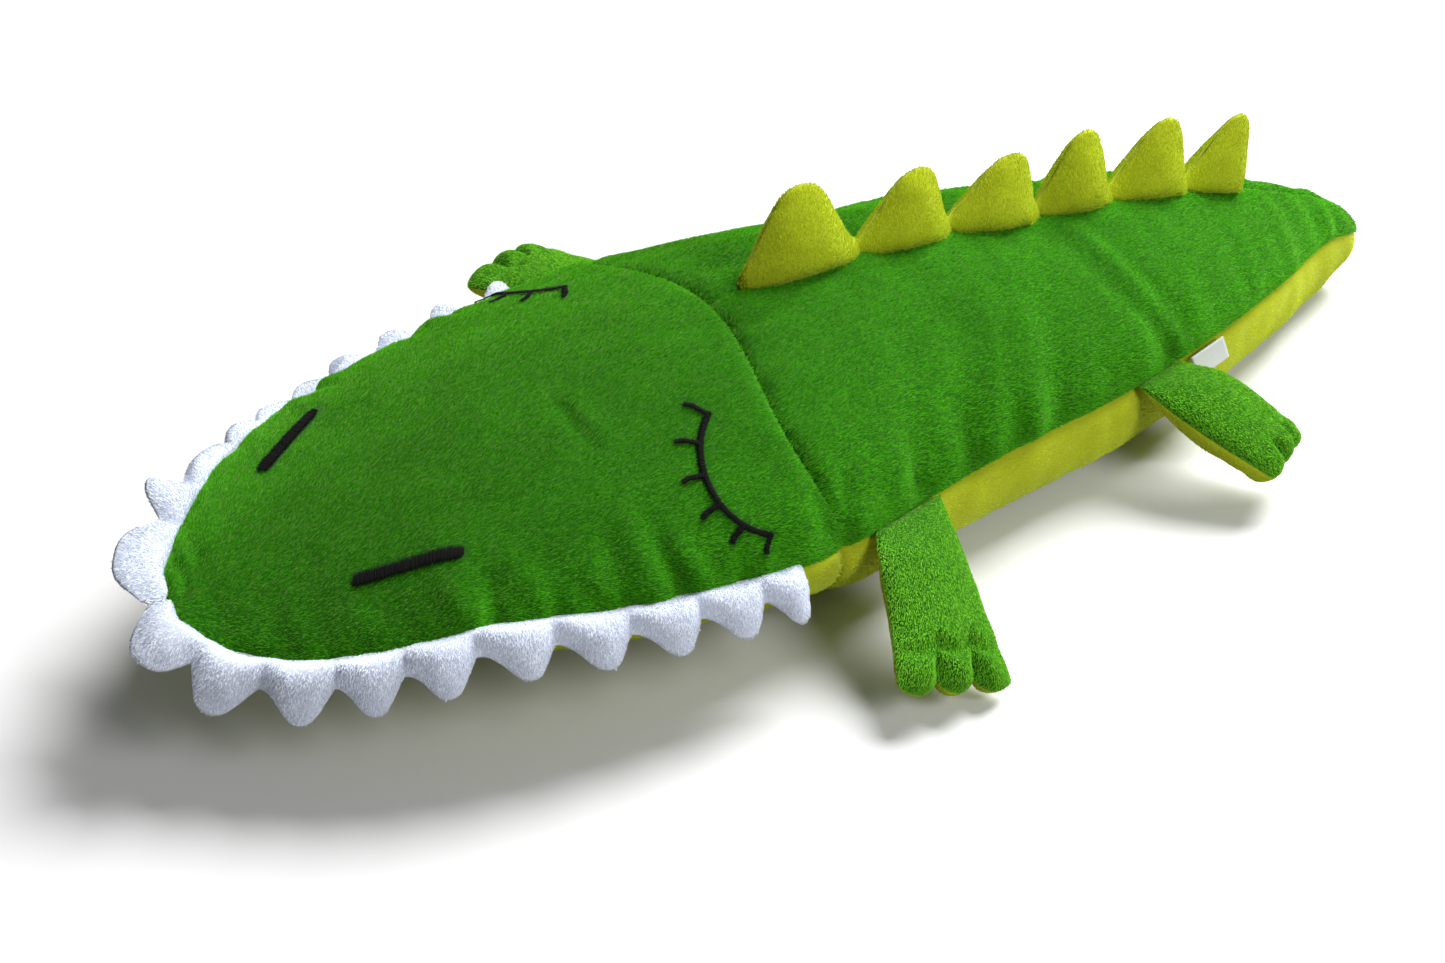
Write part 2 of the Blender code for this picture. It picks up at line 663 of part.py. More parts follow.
def head_point(y, angle, inset, side):
    """A point of the head's skin, on the left side or, mirrored before the snout is twisted, on the right."""
    return Vector(twist_snout(body_point(y, angle, inset) * (side, 1.0, 1.0)))


def nostril_outline():
    """A bar with round ends: points as (out from the crown, towards the nose)."""
    radius = NOSTRIL_WIDTH / 2
    straight = NOSTRIL_LENGTH / 2 - radius
    points = []
    for end in (1, -1):
        for step in range(NOSTRIL_STEPS + 1):
            turn = math.pi * (step / NOSTRIL_STEPS - 0.5)
            points.append((end * radius * math.sin(turn), end * (straight + radius * math.cos(turn))))
        for step in range(1, NOSTRIL_STEPS + 1):
            points.append((end * radius, end * straight * (1.0 - 2.0 * step / (NOSTRIL_STEPS + 1))))
    cos, sin = math.cos(NOSTRIL_TURN), math.sin(NOSTRIL_TURN)
    return [(x * cos - y * sin, x * sin + y * cos) for x, y in points]


def eye_outline():
    """A closed eye: a line that sags towards the nose, with lashes standing out from it."""
    radius = (EYE_CHORD ** 2 / 4 + EYE_SAG ** 2) / (2 * EYE_SAG)
    half_turn = math.asin(EYE_CHORD / 2 / radius)
    outer, inner = radius + EYE_LINE / 2, radius - EYE_LINE / 2

    def at(distance, turn):
        return distance * math.sin(turn), distance * math.cos(turn) - radius + EYE_SAG

    points = []
    lash_turn = LASH_WIDTH / 2 / outer
    spacing = 2 * (half_turn - lash_turn) / (LASHES - 1)
    for lash in range(LASHES):
        turn = -half_turn + lash_turn + lash * spacing
        points += [at(outer, turn - lash_turn), at(outer + LASH_LENGTH, turn - lash_turn)]
        points += [at(outer + LASH_LENGTH, turn + lash_turn), at(outer, turn + lash_turn)]
        if lash < LASHES - 1:
            points.append(at(outer, turn + spacing / 2))
    steps = 2 * LASHES
    points += [at(inner, half_turn * (1.0 - 2.0 * step / steps)) for step in range(steps + 1)]
    return points


def add_embroidery(name, outline, angle, share, side, panel, material, collection):
    """A flat patch of stitches laid on the head, just clear of its cloth."""
    y = (share - 0.5) * LENGTH
    skin = BVHTree.FromPolygons([v.co for v in panel.data.vertices], [f.vertices for f in panel.data.polygons])
    arc = np.linalg.norm(body_point(y, angle + LOOK_TURN) - body_point(y, angle - LOOK_TURN)) / (2 * LOOK_TURN)
    flat = bmesh.new()
    flat.faces.new([flat.verts.new((x, -forward, 0.0)) for x, forward in outline])
    flat.normal_update()
    bmesh.ops.triangulate(flat, faces=flat.faces)
    for vertex in flat.verts:
        place, turn = y + vertex.co.y, angle - vertex.co.x / arc
        outside, inside = (head_point(place, turn, inset, side) for inset in (-LOOK_OUT, LOOK_OUT))
        inward = (inside - outside).normalized()
        vertex.co = skin.ray_cast(outside, inward)[0] - inward * STITCH_SEAT
    bmesh.ops.recalc_face_normals(flat, faces=flat.faces)
    mesh = bpy.data.meshes.new(name)
    flat.to_mesh(mesh)
    flat.free()
    if mesh.polygons[0].normal.z < 0.0:
        mesh.flip_normals()
    mesh.materials.append(material)
    patch = bpy.data.objects.new(name, mesh)
    collection.objects.link(patch)
    thick = patch.modifiers.new("stitches", "SOLIDIFY")
    thick.thickness = STITCH_THICKNESS
    thick.offset = 1.0


def build_embroidery(head_top, materials, collection):
    for side, name in ((1, "left"), (-1, "right")):
        add_embroidery(f"nostril_{name}", nostril_outline(), NOSTRIL_ANGLE, NOSTRIL_PLACE_SHARES[name], side,
                       head_top, materials["black_thread"], collection)
        add_embroidery(f"closed_eye_{name}", eye_outline(), EYE_ANGLE, EYE_SHARE, side,
                       head_top, materials["black_thread"], collection)


# Label

def label_outline():
    """A tab with its two lower corners rounded: points as (out from the seam, along it)."""
    half, corner = LABEL_WIDTH / 2, LABEL_CORNER
    points = [(GAP, half), (GAP, -half)]
    for side in (-1, 1):
        turns = range(LABEL_CORNER_STEPS + 1)
        for step in turns if side < 0 else reversed(turns):
            turn = math.pi / 2 * step / LABEL_CORNER_STEPS
            points.append((LABEL_DROP - corner + corner * math.sin(turn),
                           side * (half - corner + corner * math.cos(turn))))
    return points


def build_label(materials, collection):
    hinge, along, out, normal = seam_frame(LABEL_SHARE, LABEL_WIDTH, LABEL_DROOP, 1)
    curve = bpy.data.curves.new("sewn_label", "CURVE")
    curve.dimensions = "2D"
    curve.fill_mode = "BOTH"
    curve.extrude = LABEL_THICKNESS / 2
    curve.materials.append(materials["label_cloth"])
    outline = label_outline()
    spline = curve.splines.new("POLY")
    spline.points.add(len(outline) - 1)
    for point, (x, y) in zip(spline.points, outline):
        point.co = (x, y, 0.0, 1.0)
    spline.use_cyclic_u = True
    label = bpy.data.objects.new("sewn_label", curve)
    label.matrix_world = Matrix.Translation(hinge) @ Matrix((out, along, normal)).transposed().to_4x4()
    collection.objects.link(label)


def main():
    clear_scene()
    collection = make_collection("plush_crocodile")
    materials = {
        "green_plush": make_material("green_plush", GREEN, CLOTH_ROUGHNESS),
        "yellow_plush": make_material("yellow_plush", YELLOW, CLOTH_ROUGHNESS),
        "white_plush": make_material("white_plush", WHITE, CLOTH_ROUGHNESS),
        "black_thread": make_material("black_thread", BLACK, THREAD_ROUGHNESS),
        "fibre_filling": make_material("fibre_filling", FIBRE, CLOTH_ROUGHNESS),
        "label_cloth": make_material("label_cloth", LABEL_WHITE, THREAD_ROUGHNESS),
    }
    head_top = build_head(materials, collection)
    build_body(materials, collection)
    build_teeth(materials, collection)
    build_spikes(materials, collection)
    build_legs(materials, collection)
    build_embroidery(head_top, materials, collection)
    build_label(materials, collection)


main()
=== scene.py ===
import json
import math

import bmesh
import bpy
import numpy as np
from mathutils import Matrix, Vector, noise
from mathutils.bvhtree import BVHTree

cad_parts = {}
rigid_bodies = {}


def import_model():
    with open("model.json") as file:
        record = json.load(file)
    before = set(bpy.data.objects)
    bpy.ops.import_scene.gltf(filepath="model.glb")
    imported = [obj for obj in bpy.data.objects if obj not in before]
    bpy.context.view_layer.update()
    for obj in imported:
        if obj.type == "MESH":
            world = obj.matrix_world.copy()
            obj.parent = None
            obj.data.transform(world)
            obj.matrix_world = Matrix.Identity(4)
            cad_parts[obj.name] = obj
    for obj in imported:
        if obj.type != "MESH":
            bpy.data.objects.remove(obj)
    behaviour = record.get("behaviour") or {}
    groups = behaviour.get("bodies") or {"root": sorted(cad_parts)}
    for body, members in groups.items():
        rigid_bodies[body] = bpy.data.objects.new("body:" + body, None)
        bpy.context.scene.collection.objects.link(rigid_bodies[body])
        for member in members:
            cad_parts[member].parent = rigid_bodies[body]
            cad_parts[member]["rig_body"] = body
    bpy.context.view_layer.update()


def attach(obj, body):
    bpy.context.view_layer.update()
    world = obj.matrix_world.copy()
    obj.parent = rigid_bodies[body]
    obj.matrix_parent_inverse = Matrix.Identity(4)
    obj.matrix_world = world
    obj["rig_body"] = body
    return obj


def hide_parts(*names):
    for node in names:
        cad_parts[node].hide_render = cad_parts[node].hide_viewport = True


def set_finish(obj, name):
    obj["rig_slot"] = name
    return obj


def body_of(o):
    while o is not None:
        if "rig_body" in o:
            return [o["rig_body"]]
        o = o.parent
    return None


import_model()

# Head, upper side. One panel of green plush that runs from the mouth seam over the crown to the other
# side and ends at the neck seam. It is sewn face to face with the jaw and turned out, so its edges are
# drawn inwards and gathered, and the stuffing swells it between them.
MM = 0.001
LENGTH = 800 * MM
WIDTH = 280 * MM
SEAM_HEIGHT = 60 * MM
CROWN_RISE = 87 * MM
CLOTH = 3 * MM
SINK = 1.0 * MM
PROFILE = np.array((
    (0.00, 0.110, 1.27, 0.06, 0.93, 2.0),
    (0.03, 0.345, 1.20, 0.13, 0.74, 2.0),
    (0.08, 0.585, 1.23, 0.21, 0.52, 2.0),
    (0.16, 0.810, 1.27, 0.38, 0.34, 2.0),
    (0.26, 0.955, 1.18, 0.65, 0.14, 2.0),
    (0.36, 1.000, 1.08, 0.865, 0.04, 2.2),
    (0.46, 0.895, 1.00, 0.98, 0.00, 3.2),
    (0.56, 0.785, 1.00, 0.935, 0.00, 3.9),
    (0.66, 0.715, 0.98, 0.82, 0.00, 3.9),
    (0.76, 0.580, 0.955, 0.72, 0.00, 3.9),
    (0.86, 0.400, 0.92, 0.515, 0.00, 3.6),
    (0.94, 0.205, 0.85, 0.26, 0.03, 3.0),
    (0.98, 0.130, 0.72, 0.16, 0.22, 2.2),
    (1.00, 0.095, 0.56, 0.10, 0.50, 2.0),
))
END_ROUND = 0.014
TAIL_ROUND = 0.022
SNOUT_ROLL = math.radians(18)
SNOUT_TURN = math.radians(10)
SNOUT_TWIST_SHARE = 0.15
SNOUT_SOFTNESS = 1.2
SNOUT_SHIFT = 4 * MM
NECK_SHARE = 0.400
NECK_SWEEP_SHARE = 0.065
THINNEST = 0.4 * MM
SIDE_SEAM = 2.6 * MM
FINE_SEAM = 2.9 * MM
END_SEAM = 0.8 * MM
FOLD_STRENGTH = 1.35
FULL_WIDTH = 34 * MM
SEAM_HOLD = 4.5 * MM
PUCKER_PITCH = 15 * MM
PUCKER_REACH = 12 * MM
FOLD_DRIFT = 2.5 * MM
FOLD_FADE = 0.55
FOLD_DRIFT_SIZE = 14 * MM
FOLD_DRIFT_SEED = 23
SEED_STEP = 7.31
WAVE_SIZE = 62 * MM
CREASE_SIZE = 19 * MM
NOSE_CROWDING = 1.5
HEAD_GRID = (150, 120)


def through(stations, values, position):
    """A smooth curve through the values that never swings past them."""
    widths = np.diff(stations)
    slopes = np.diff(values) / widths
    before, after = slopes[:-1], slopes[1:]
    total = np.where(before * after > 0, before + after, 1.0)
    middle = np.where(before * after > 0, 2 * before * after / total, 0.0)
    tangents = np.concatenate((slopes[:1], middle, slopes[-1:]))
    cell = np.clip(np.searchsorted(stations, position) - 1, 0, len(widths) - 1)
    t = np.clip((position - stations[cell]) / widths[cell], 0, 1)
    rise = t * t * (3 - 2 * t)
    start = t * (1 - t) ** 2 * widths[cell] * tangents[cell]
    end = t * t * (t - 1) * widths[cell] * tangents[cell + 1]
    return values[cell] * (1 - rise) + values[cell + 1] * rise + start + end


def station(y, inset=0.0):
    """Half width, seam height, rise, depth and fullness of the underside at y."""
    share = (y + LENGTH / 2 - inset) / (LENGTH - 2 * inset)
    width, seam, rise, under, full = (through(PROFILE[:, 0], values, share) for values in PROFILE.T[1:])
    closing = np.clip(np.minimum(share, 1 - share) / END_ROUND, 0, 1)
    closing = np.sqrt(1 - (1 - closing) ** 2)
    tail = 1 - np.clip((1 - share) / TAIL_ROUND, 0, 1)
    width = width * np.sqrt(1 - tail ** 2)
    seam_z = seam * SEAM_HEIGHT
    half_width, above, below = (np.maximum(size - inset, THINNEST) for size in (
        width * WIDTH / 2, rise * CROWN_RISE, seam_z * (1 - under)))
    return half_width, seam_z, above * closing, below * closing, full


def skin(y, angle, inset=0.0):
    """The stuffed cloth. Angle 0 is the left seam, a quarter turn the crown, three quarters the belly."""
    half_width, seam_z, rise, depth, full = station(y, inset)
    cos, sin = np.cos(angle), np.sin(angle)
    power = np.where(sin >= 0, 1.0, 2 / full)
    across = np.sign(cos) * np.abs(cos) ** power
    up = np.abs(sin) ** power * np.where(sin >= 0, rise, -depth)
    return np.stack((half_width * across, y + 0 * angle, np.maximum(seam_z + up, 0.0)), axis=-1)


def neck_line(angle):
    across = np.cos(angle) ** 2
    sweep = np.where(np.sin(angle) < 0, 0.0, across * (1 - across))
    return (NECK_SHARE - 0.5 - sweep * NECK_SWEEP_SHARE) * LENGTH


def twist_snout(points):
    """The tip of the snout lies rolled towards the left side, less and less towards the eyes."""
    share = np.clip(points[..., 1] / LENGTH + 0.5, 0, SNOUT_TWIST_SHARE)
    twist = (1 - share / SNOUT_TWIST_SHARE) ** SNOUT_SOFTNESS
    pivot = PROFILE[0, 2] * SEAM_HEIGHT
    x, y, z = points[..., 0], points[..., 1], points[..., 2] - pivot
    cos, sin = np.cos(twist * SNOUT_ROLL), np.sin(twist * SNOUT_ROLL)
    across = x * cos + z * sin
    forward = y - across * twist * math.tan(SNOUT_TURN)
    return np.stack((across + twist * SNOUT_SHIFT, forward, z * cos - x * sin + pivot), axis=-1)


def crowded(count, amount=0.5):
    """Steps from 0 to 1 that lie closer together towards both ends."""
    t = np.linspace(0, 1, count + 1)
    return t - amount * np.sin(2 * math.pi * t) / (2 * math.pi)


def head_cloth(first_quarter, last_quarter, rows, columns, inset=0.0):
    """Rows run from the nose to the neck seam and columns from one side seam to the other."""
    angles = math.pi / 2 * (first_quarter + (last_quarter - first_quarter) * crowded(columns))
    nose = -LENGTH / 2 + inset
    share = np.linspace(0, 1, rows + 1)[:, None] ** NOSE_CROWDING
    return twist_snout(skin(nose + share * (neck_line(angles) - nose), angles[None, :], inset))


def outward(points):
    """Unit normals of a grid of points, away from the middle of what it wraps."""
    normals = np.cross(np.gradient(points, axis=0), np.gradient(points, axis=1))
    normals /= np.maximum(np.linalg.norm(normals, axis=-1, keepdims=True), 1e-12)
    for rows in (normals, normals.swapaxes(0, 1)):
        rows[0], rows[-1] = rows[1], rows[-2]
    middle = points.reshape(-1, 3).mean(axis=0)
    return normals * math.copysign(1, ((points - middle) * normals).sum())


def rumple(places, size, seed):
    """Soft noise from -1 to 1 at each place, its lumps about as big as size."""
    flat = (places.reshape(-1, 3) / size + seed * SEED_STEP).tolist()
    return np.array([noise.noise(p) for p in flat]).reshape(places.shape[:-1])


def from_edge(points, edge):
    """For each point, its distance from one edge of the grid, and how far along that edge it lies."""
    grid = {"left": points, "right": points[:, ::-1], "start": points.swapaxes(0, 1),
            "end": points[::-1].swapaxes(0, 1)}[edge]
    steps = np.linalg.norm(np.diff(grid, axis=1), axis=-1)
    distance = np.concatenate((np.zeros((len(grid), 1)), np.cumsum(steps, axis=1)), axis=1)
    run = np.linalg.norm(np.diff(grid[:, 0], axis=0), axis=-1)
    along = np.concatenate(([0.0], np.cumsum(run)))[:, None] + 0 * distance
    if edge in ("left", "right"):
        return (distance, along) if edge == "left" else (distance[:, ::-1], along[:, ::-1])
    return (distance.T, along.T) if edge == "start" else (distance.T[::-1], along.T[::-1])


def on_skin(place):
    """A point of the stuffed skin, from its share of the length and its angle in degrees."""
    share, degrees = place
    return twist_snout(skin(np.array((share - 0.5) * LENGTH), np.array(math.radians(degrees))))


def folded(points, folds):
    """How far the cloth lies in or out along its folds. Each fold is a line of places on the skin, from
    where it is strongest, with its half width and its depth. A negative depth is a ridge."""
    lift = np.zeros(points.shape[:2])
    drift = FOLD_DRIFT * rumple(points, FOLD_DRIFT_SIZE, FOLD_DRIFT_SEED)
    for line, width, depth in folds:
        path = [on_skin(place) for place in line]
        nearest, run = np.full(lift.shape, np.inf), np.zeros(lift.shape)
        for number, (start, end) in enumerate(zip(path, path[1:])):
            way = end - start
            share = np.clip((points - start) @ way / (way @ way), 0, 1)
            distance = np.linalg.norm(points - start - share[..., None] * way, axis=-1)
            run = np.where(distance < nearest, (number + share) / (len(path) - 1), run)
            nearest = np.minimum(distance, nearest)
        hollow = np.exp(-((nearest + drift) / (width * MM)) ** 2)
        lift -= FOLD_STRENGTH * depth * MM * (1 - FOLD_FADE * run) * hollow
    return lift


def other_side(folds, shift):
    """The same kind of folds on the right side, a little further along."""
    return [([(share + shift, 180 - degrees) for share, degrees in line], width, depth)
            for line, width, depth in folds]


def stuffed(points, seams, seed, folds=(), pucker=1.3 * MM, wave=1.6 * MM, crease=0.8 * MM):
    """Draws a panel in at its sewn edges, gathers it beside them, and folds and rumples the rest."""
    lift = wave * rumple(points, WAVE_SIZE, seed)
    lift += crease * rumple(points * (1.0, 0.5, 1.0), CREASE_SIZE, seed + 1)
    lift += folded(points, folds)
    held, drawn = 1.0, 0.0
    for number, (edge, depth) in enumerate(seams.items()):
        distance, along = from_edge(points, edge)
        gathers = np.stack((along / PUCKER_PITCH, distance / (4 * PUCKER_PITCH), 0 * along + number),
                           axis=-1)
        reach = distance / PUCKER_REACH
        lift += pucker * 2 * rumple(gathers, 1.0, seed + 2) * reach * np.exp(1 - reach)
        held = held * (1 - np.exp(-distance / SEAM_HOLD))
        drawn = drawn - depth * np.exp(-distance / depth)
    lift = lift * held + drawn
    lift *= np.clip(station(points[..., 1])[0] / FULL_WIDTH, 0, 1)
    moved = points + outward(points) * lift[..., None]
    moved[..., 2] = np.maximum(moved[..., 2], 0.0)
    return moved


def grid_quads(rows, columns, first):
    here = first + np.arange(rows - 1)[:, None] * columns + np.arange(columns - 1)[None, :]
    return np.stack((here, here + 1, here + columns + 1, here + columns), axis=-1).reshape(-1, 4)


def rim(rows, columns):
    """Indices round the edge of a grid, in order."""
    top = list(range(columns))
    right = [r * columns + columns - 1 for r in range(1, rows)]
    bottom = [(rows - 1) * columns + c for c in range(columns - 2, -1, -1)]
    left = [r * columns for r in range(rows - 2, 0, -1)]
    return np.array(top + right + bottom + left)


def placed(name, data):
    thing = bpy.data.objects.new(name, data)
    bpy.context.scene.collection.objects.link(thing)
    return thing


def finished(name, mesh, material):
    mesh.materials.append(material)
    mesh.shade_smooth()
    return placed(name, mesh)


def face_out(mesh):
    form = bmesh.new()
    form.from_mesh(mesh)
    bmesh.ops.remove_doubles(form, verts=form.verts, dist=0.01 * MM)
    bmesh.ops.recalc_face_normals(form, faces=form.faces)
    form.to_mesh(mesh)
    form.free()


def under_side(outer):
    """The inner side of a panel whose outer side lies a little below the skin."""
    return outer - outward(outer) * (CLOTH - SINK)


def ply(name, outer, inner, material):
    """A ply of cloth with its thickness: two equal grids joined round their edges. For OFBake they lie flat
    side by side, with the walls in a strip below them."""
    rows, columns = outer.shape[:2]
    count = rows * columns
    edge = rim(rows, columns)
    after = np.roll(edge, -1)
    walls = np.stack((edge, after, after + count, edge + count), axis=-1)
    faces = np.concatenate((grid_quads(rows, columns, 0), grid_quads(rows, columns, count), walls))
    mesh = bpy.data.meshes.new(name)
    points = np.concatenate((outer.reshape(-1, 3), inner.reshape(-1, 3)))
    mesh.from_pydata(points.tolist(), [], faces.tolist())
    across, down = np.meshgrid(np.linspace(0.01, 0.49, columns), np.linspace(0.05, 0.99, rows))
    flat = np.stack((across.ravel(), down.ravel()), axis=-1)
    flat = np.concatenate((flat, flat + (0.5, 0.0)))
    layout = flat[faces]
    start = np.arange(len(walls)) / len(walls)
    strip = np.stack((start, start + 1 / len(walls), start + 1 / len(walls), start), axis=-1)
    layout[-len(walls):] = np.stack((strip, strip * 0 + (0.0, 0.0, 0.03, 0.03)), axis=-1)
    mesh.uv_layers.new(name="OFBake").data.foreach_set("uv", layout.reshape(-1).astype(np.float32))
    face_out(mesh)
    return finished(name, mesh, material)


def feed(tree, target, value):
    """Links a socket to an input, or sets the input to a plain value."""
    if isinstance(value, bpy.types.NodeSocket):
        tree.links.new(value, target)
    else:
        target.default_value = value


def add(tree, kind, values=None, settings=None, **more):
    """Adds a node. Its settings come first. Its inputs are named, each with a socket or a plain value."""
    node = tree.nodes.new(kind)
    for setting, value in (settings or {}).items():
        setattr(node, setting, value)
    for socket, value in {**(values or {}), **more}.items():
        feed(tree, node.inputs[socket], value)
    return node


def reckon(tree, operation, *values):
    node = add(tree, "ShaderNodeMath", dict(enumerate(values)), {"operation": operation})
    return node.outputs[0]


def mixed(tree, blend, factor, first, second):
    """A colour mix. Each of its three inputs is a socket or a plain value."""
    node = add(tree, "ShaderNodeMix", settings={"data_type": "RGBA", "blend_type": blend})
    for socket, value in (("Factor_Float", factor), ("A_Color", first), ("B_Color", second)):
        feed(tree, next(i for i in node.inputs if i.identifier == socket), value)
    return next(o for o in node.outputs if o.identifier == "Result_Color")


def group_tree(name, kind, inputs, outputs):
    tree = bpy.data.node_groups.new(name, kind)
    for way, sockets in (("INPUT", inputs), ("OUTPUT", outputs)):
        for label, socket_type, *value in sockets:
            socket = tree.interface.new_socket(label, in_out=way, socket_type=socket_type)
            if value:
                socket.default_value = value[0]
    return tree, tree.nodes.new("NodeGroupInput"), tree.nodes.new("NodeGroupOutput")


def plush_shade_group():
    """Colour and height of brushed plush: strands, clumps, and patches brushed lighter or darker."""
    tree, given, made = group_tree("plush_shade", "ShaderNodeTree", [
        ("Colour", "NodeSocketColor", (0.1, 0.3, 0.02, 1)), ("Strand", "NodeSocketFloat", 900.0),
        ("Contrast", "NodeSocketFloat", 0.4), ("Patches", "NodeSocketFloat", 0.3)],
        [("Colour", "NodeSocketColor"), ("Height", "NodeSocketFloat")])
    place = add(tree, "ShaderNodeTexCoord").outputs["Object"]
    combed = add(tree, "ShaderNodeMapping", {
        "Scale": (1.0, 0.35, 1.0), "Rotation": (0.0, 0.0, 0.5)}, Vector=place).outputs["Vector"]
    strands, clumps, patches = (add(tree, "ShaderNodeTexNoise", values).outputs["Fac"] for values in (
        {"Vector": combed, "Scale": given.outputs["Strand"], "Detail": 3.0, "Roughness": 0.6},
        {"Vector": place, "Scale": 170.0, "Detail": 3.0},
        {"Vector": place, "Scale": 26.0, "Detail": 2.0}))
    light = reckon(tree, "MULTIPLY_ADD", strands, given.outputs["Contrast"], 0.78)
    soft = reckon(tree, "MULTIPLY_ADD", patches, given.outputs["Patches"], 0.85)
    shade = mixed(tree, "MULTIPLY", 1.0, given.outputs["Colour"], reckon(tree, "MULTIPLY", light, soft))
    tree.links.new(shade, made.inputs["Colour"])
    tree.links.new(reckon(tree, "MULTIPLY_ADD", clumps, 0.6, strands), made.inputs["Height"])
    return tree


def principled(name, roughness, sheen=0.0, sheen_tint=(1, 1, 1, 1), specular=0.3):
    material = bpy.data.materials.new(name)
    material.use_nodes = True
    shader = material.node_tree.nodes["Principled BSDF"]
    for socket, value in (("Roughness", roughness), ("Sheen Weight", sheen), ("Sheen Roughness", 0.45),
                          ("Sheen Tint", sheen_tint), ("Specular IOR Level", specular)):
        shader.inputs[socket].default_value = value
    return material, material.node_tree, shader


def bumped(tree, shader, height, strength, distance):
    bump = add(tree, "ShaderNodeBump", {"Strength": strength, "Distance": distance}, Height=height)
    tree.links.new(bump.outputs["Normal"], shader.inputs["Normal"])


PLUSH_SHADE = plush_shade_group()


def plush(name, colour, sheen_tint):
    """The knitted ground of the plush, seen between its fibres."""
    material, tree, shader = principled(name, 0.95, 0.25, sheen_tint, 0.15)
    shade = add(tree, "ShaderNodeGroup", settings={"node_tree": PLUSH_SHADE}, Colour=(*colour, 1))
    tree.links.new(shade.outputs["Colour"], shader.inputs["Base Color"])
    bumped(tree, shader, shade.outputs["Height"], 0.6, 0.5 * MM)
    return material


# The green and white grounds are darker than the roots of their pile: painted shade beneath the fibres.
GREEN_GROUND = plush("green_plush_ground", (0.012, 0.100, 0.001), (0.5, 0.9, 0.3, 1))
YELLOW_GROUND = plush("yellow_plush_ground", (0.42, 0.48, 0.015), (0.9, 1.0, 0.5, 1))
WHITE_GROUND = plush("white_plush_ground", (0.66, 0.70, 0.80), (1, 1, 1, 1))
panels = []


def behind_seam(points, edges, bare):
    """How much pile stands beside sewn edges: none up to the bare width."""
    distance = np.minimum.reduce([from_edge(points, edge)[0] for edge in edges])
    return np.clip((distance - bare) / bare, 0, 1)


def sew(name, outer, inner, ground, body, slot, replaces, comb, cover=None):
    """Makes and declares a ply, and keeps its outer side for the pile that is laid on it further down."""
    piece = ply(name, outer, inner, ground)
    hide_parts(*replaces)
    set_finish(piece, slot)
    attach(piece, body)
    panels.append((piece, outer, comb, np.ones(outer.shape[:2]) if cover is None else cover))
    return piece


CHEEK_FOLDS = [
    ([(0.160, 2), (0.161, 20), (0.167, 36)], 5, 3.0),
    ([(0.197, 2), (0.196, 22)], 5, 2.6),
    ([(0.138, 4), (0.140, 22), (0.141, 38)], 7, -1.6),
    ([(0.238, 2), (0.236, 18), (0.240, 34)], 6, 2.2),
    ([(0.260, 3), (0.257, 22), (0.259, 42)], 8, -2.6),
    ([(0.278, 2), (0.273, 20), (0.272, 36)], 5, 2.2),
    ([(0.296, 4), (0.287, 16), (0.281, 30)], 7, -1.8),
    ([(0.318, 2), (0.315, 16)], 5, 2.2),
    ([(0.075, 3), (0.085, 20)], 6, 2.2),
    ([(0.030, 4), (0.048, 22)], 5, 2.4),
]
HEAD_FOLDS = CHEEK_FOLDS + other_side(CHEEK_FOLDS, 0.012) + [
    ([(0.4, 2), (0.392, 12), (0.386, 24)], 6, 4.5),
    ([(0.4, 178), (0.392, 168)], 6, 4.0),
    ([(0.004, 78), (0.014, 98), (0.030, 108)], 4, 3.0),
    ([(0.018, 122), (0.045, 134)], 6, -2.0),
    ([(0.269, 79), (0.268, 72), (0.269, 64)], 4, 1.6),
    ([(0.277, 79), (0.276, 64)], 6, -1.2),
    ([(0.328, 96), (0.304, 93), (0.275, 89)], 8, 1.0),
    ([(0.339, 85), (0.318, 85), (0.294, 83)], 8, -1.0),
]
ALL_ROUND = {"left": SIDE_SEAM, "right": SIDE_SEAM, "start": END_SEAM, "end": FINE_SEAM}
head_outer = stuffed(head_cloth(0, 2, *HEAD_GRID, SINK), ALL_ROUND, 1, HEAD_FOLDS)
head_top = sew("head_top", head_outer, under_side(head_outer), GREEN_GROUND, "trunk", "green_plush",
               ["head_top_panel"], 0)

# Jaw. The lower side of the head is one panel of yellow plush with the same outline, nearly flat where
# it lies on the floor. It shows as a thin yellow edge between the teeth and behind the last of them.
JAW_GRID = (110, 80)
PRESSED_HEIGHT = 1.0 * MM
RISEN_HEIGHT = 4 * MM
NOSE_BARE = 9 * MM
MOUTH_BARE = 2 * MM


def off_floor(points):
    """How much pile stands on a panel: none where it is pressed on the floor."""
    return np.clip((points[..., 2] - PRESSED_HEIGHT) / RISEN_HEIGHT, 0, 1)


jaw_outer = stuffed(head_cloth(2, 4, *JAW_GRID, SINK), ALL_ROUND, 2)
jaw_edges = (behind_seam(jaw_outer, ("start",), NOSE_BARE)
             * behind_seam(jaw_outer, ("left", "right"), MOUTH_BARE))
sew("jaw", jaw_outer, under_side(jaw_outer), YELLOW_GROUND, "trunk", "yellow_plush", ["jaw_panel"],
    0, off_floor(jaw_outer) * jaw_edges)

# Back and belly. Two green panels meet in the centre-back seam, and one yellow panel closes the body
# underneath. All three run into the tail's end and are sewn to the head round the neck.
TAIL_CROWDING = 1.35
BACK_GRID = (130, 66)
BELLY_GRID = (110, 76)
BELLY_SEAM = 5 * MM
BACK_END_BARE = 0.7 * MM
BELLY_END_BARE = 4 * MM
BELLY_SIDE_BARE = 1.5 * MM


def body_cloth(first_quarter, last_quarter, rows, columns, inset=0.0):
    """Rows run from the neck seam to the tail and columns from one seam to the other."""
    angles = math.pi / 2 * (first_quarter + (last_quarter - first_quarter) * crowded(columns))
    tail = LENGTH / 2 - inset
    left = (1 - np.linspace(0, 1, rows + 1)[:, None]) ** TAIL_CROWDING
    return skin(tail + left * (neck_line(angles) - tail), angles[None, :], inset)


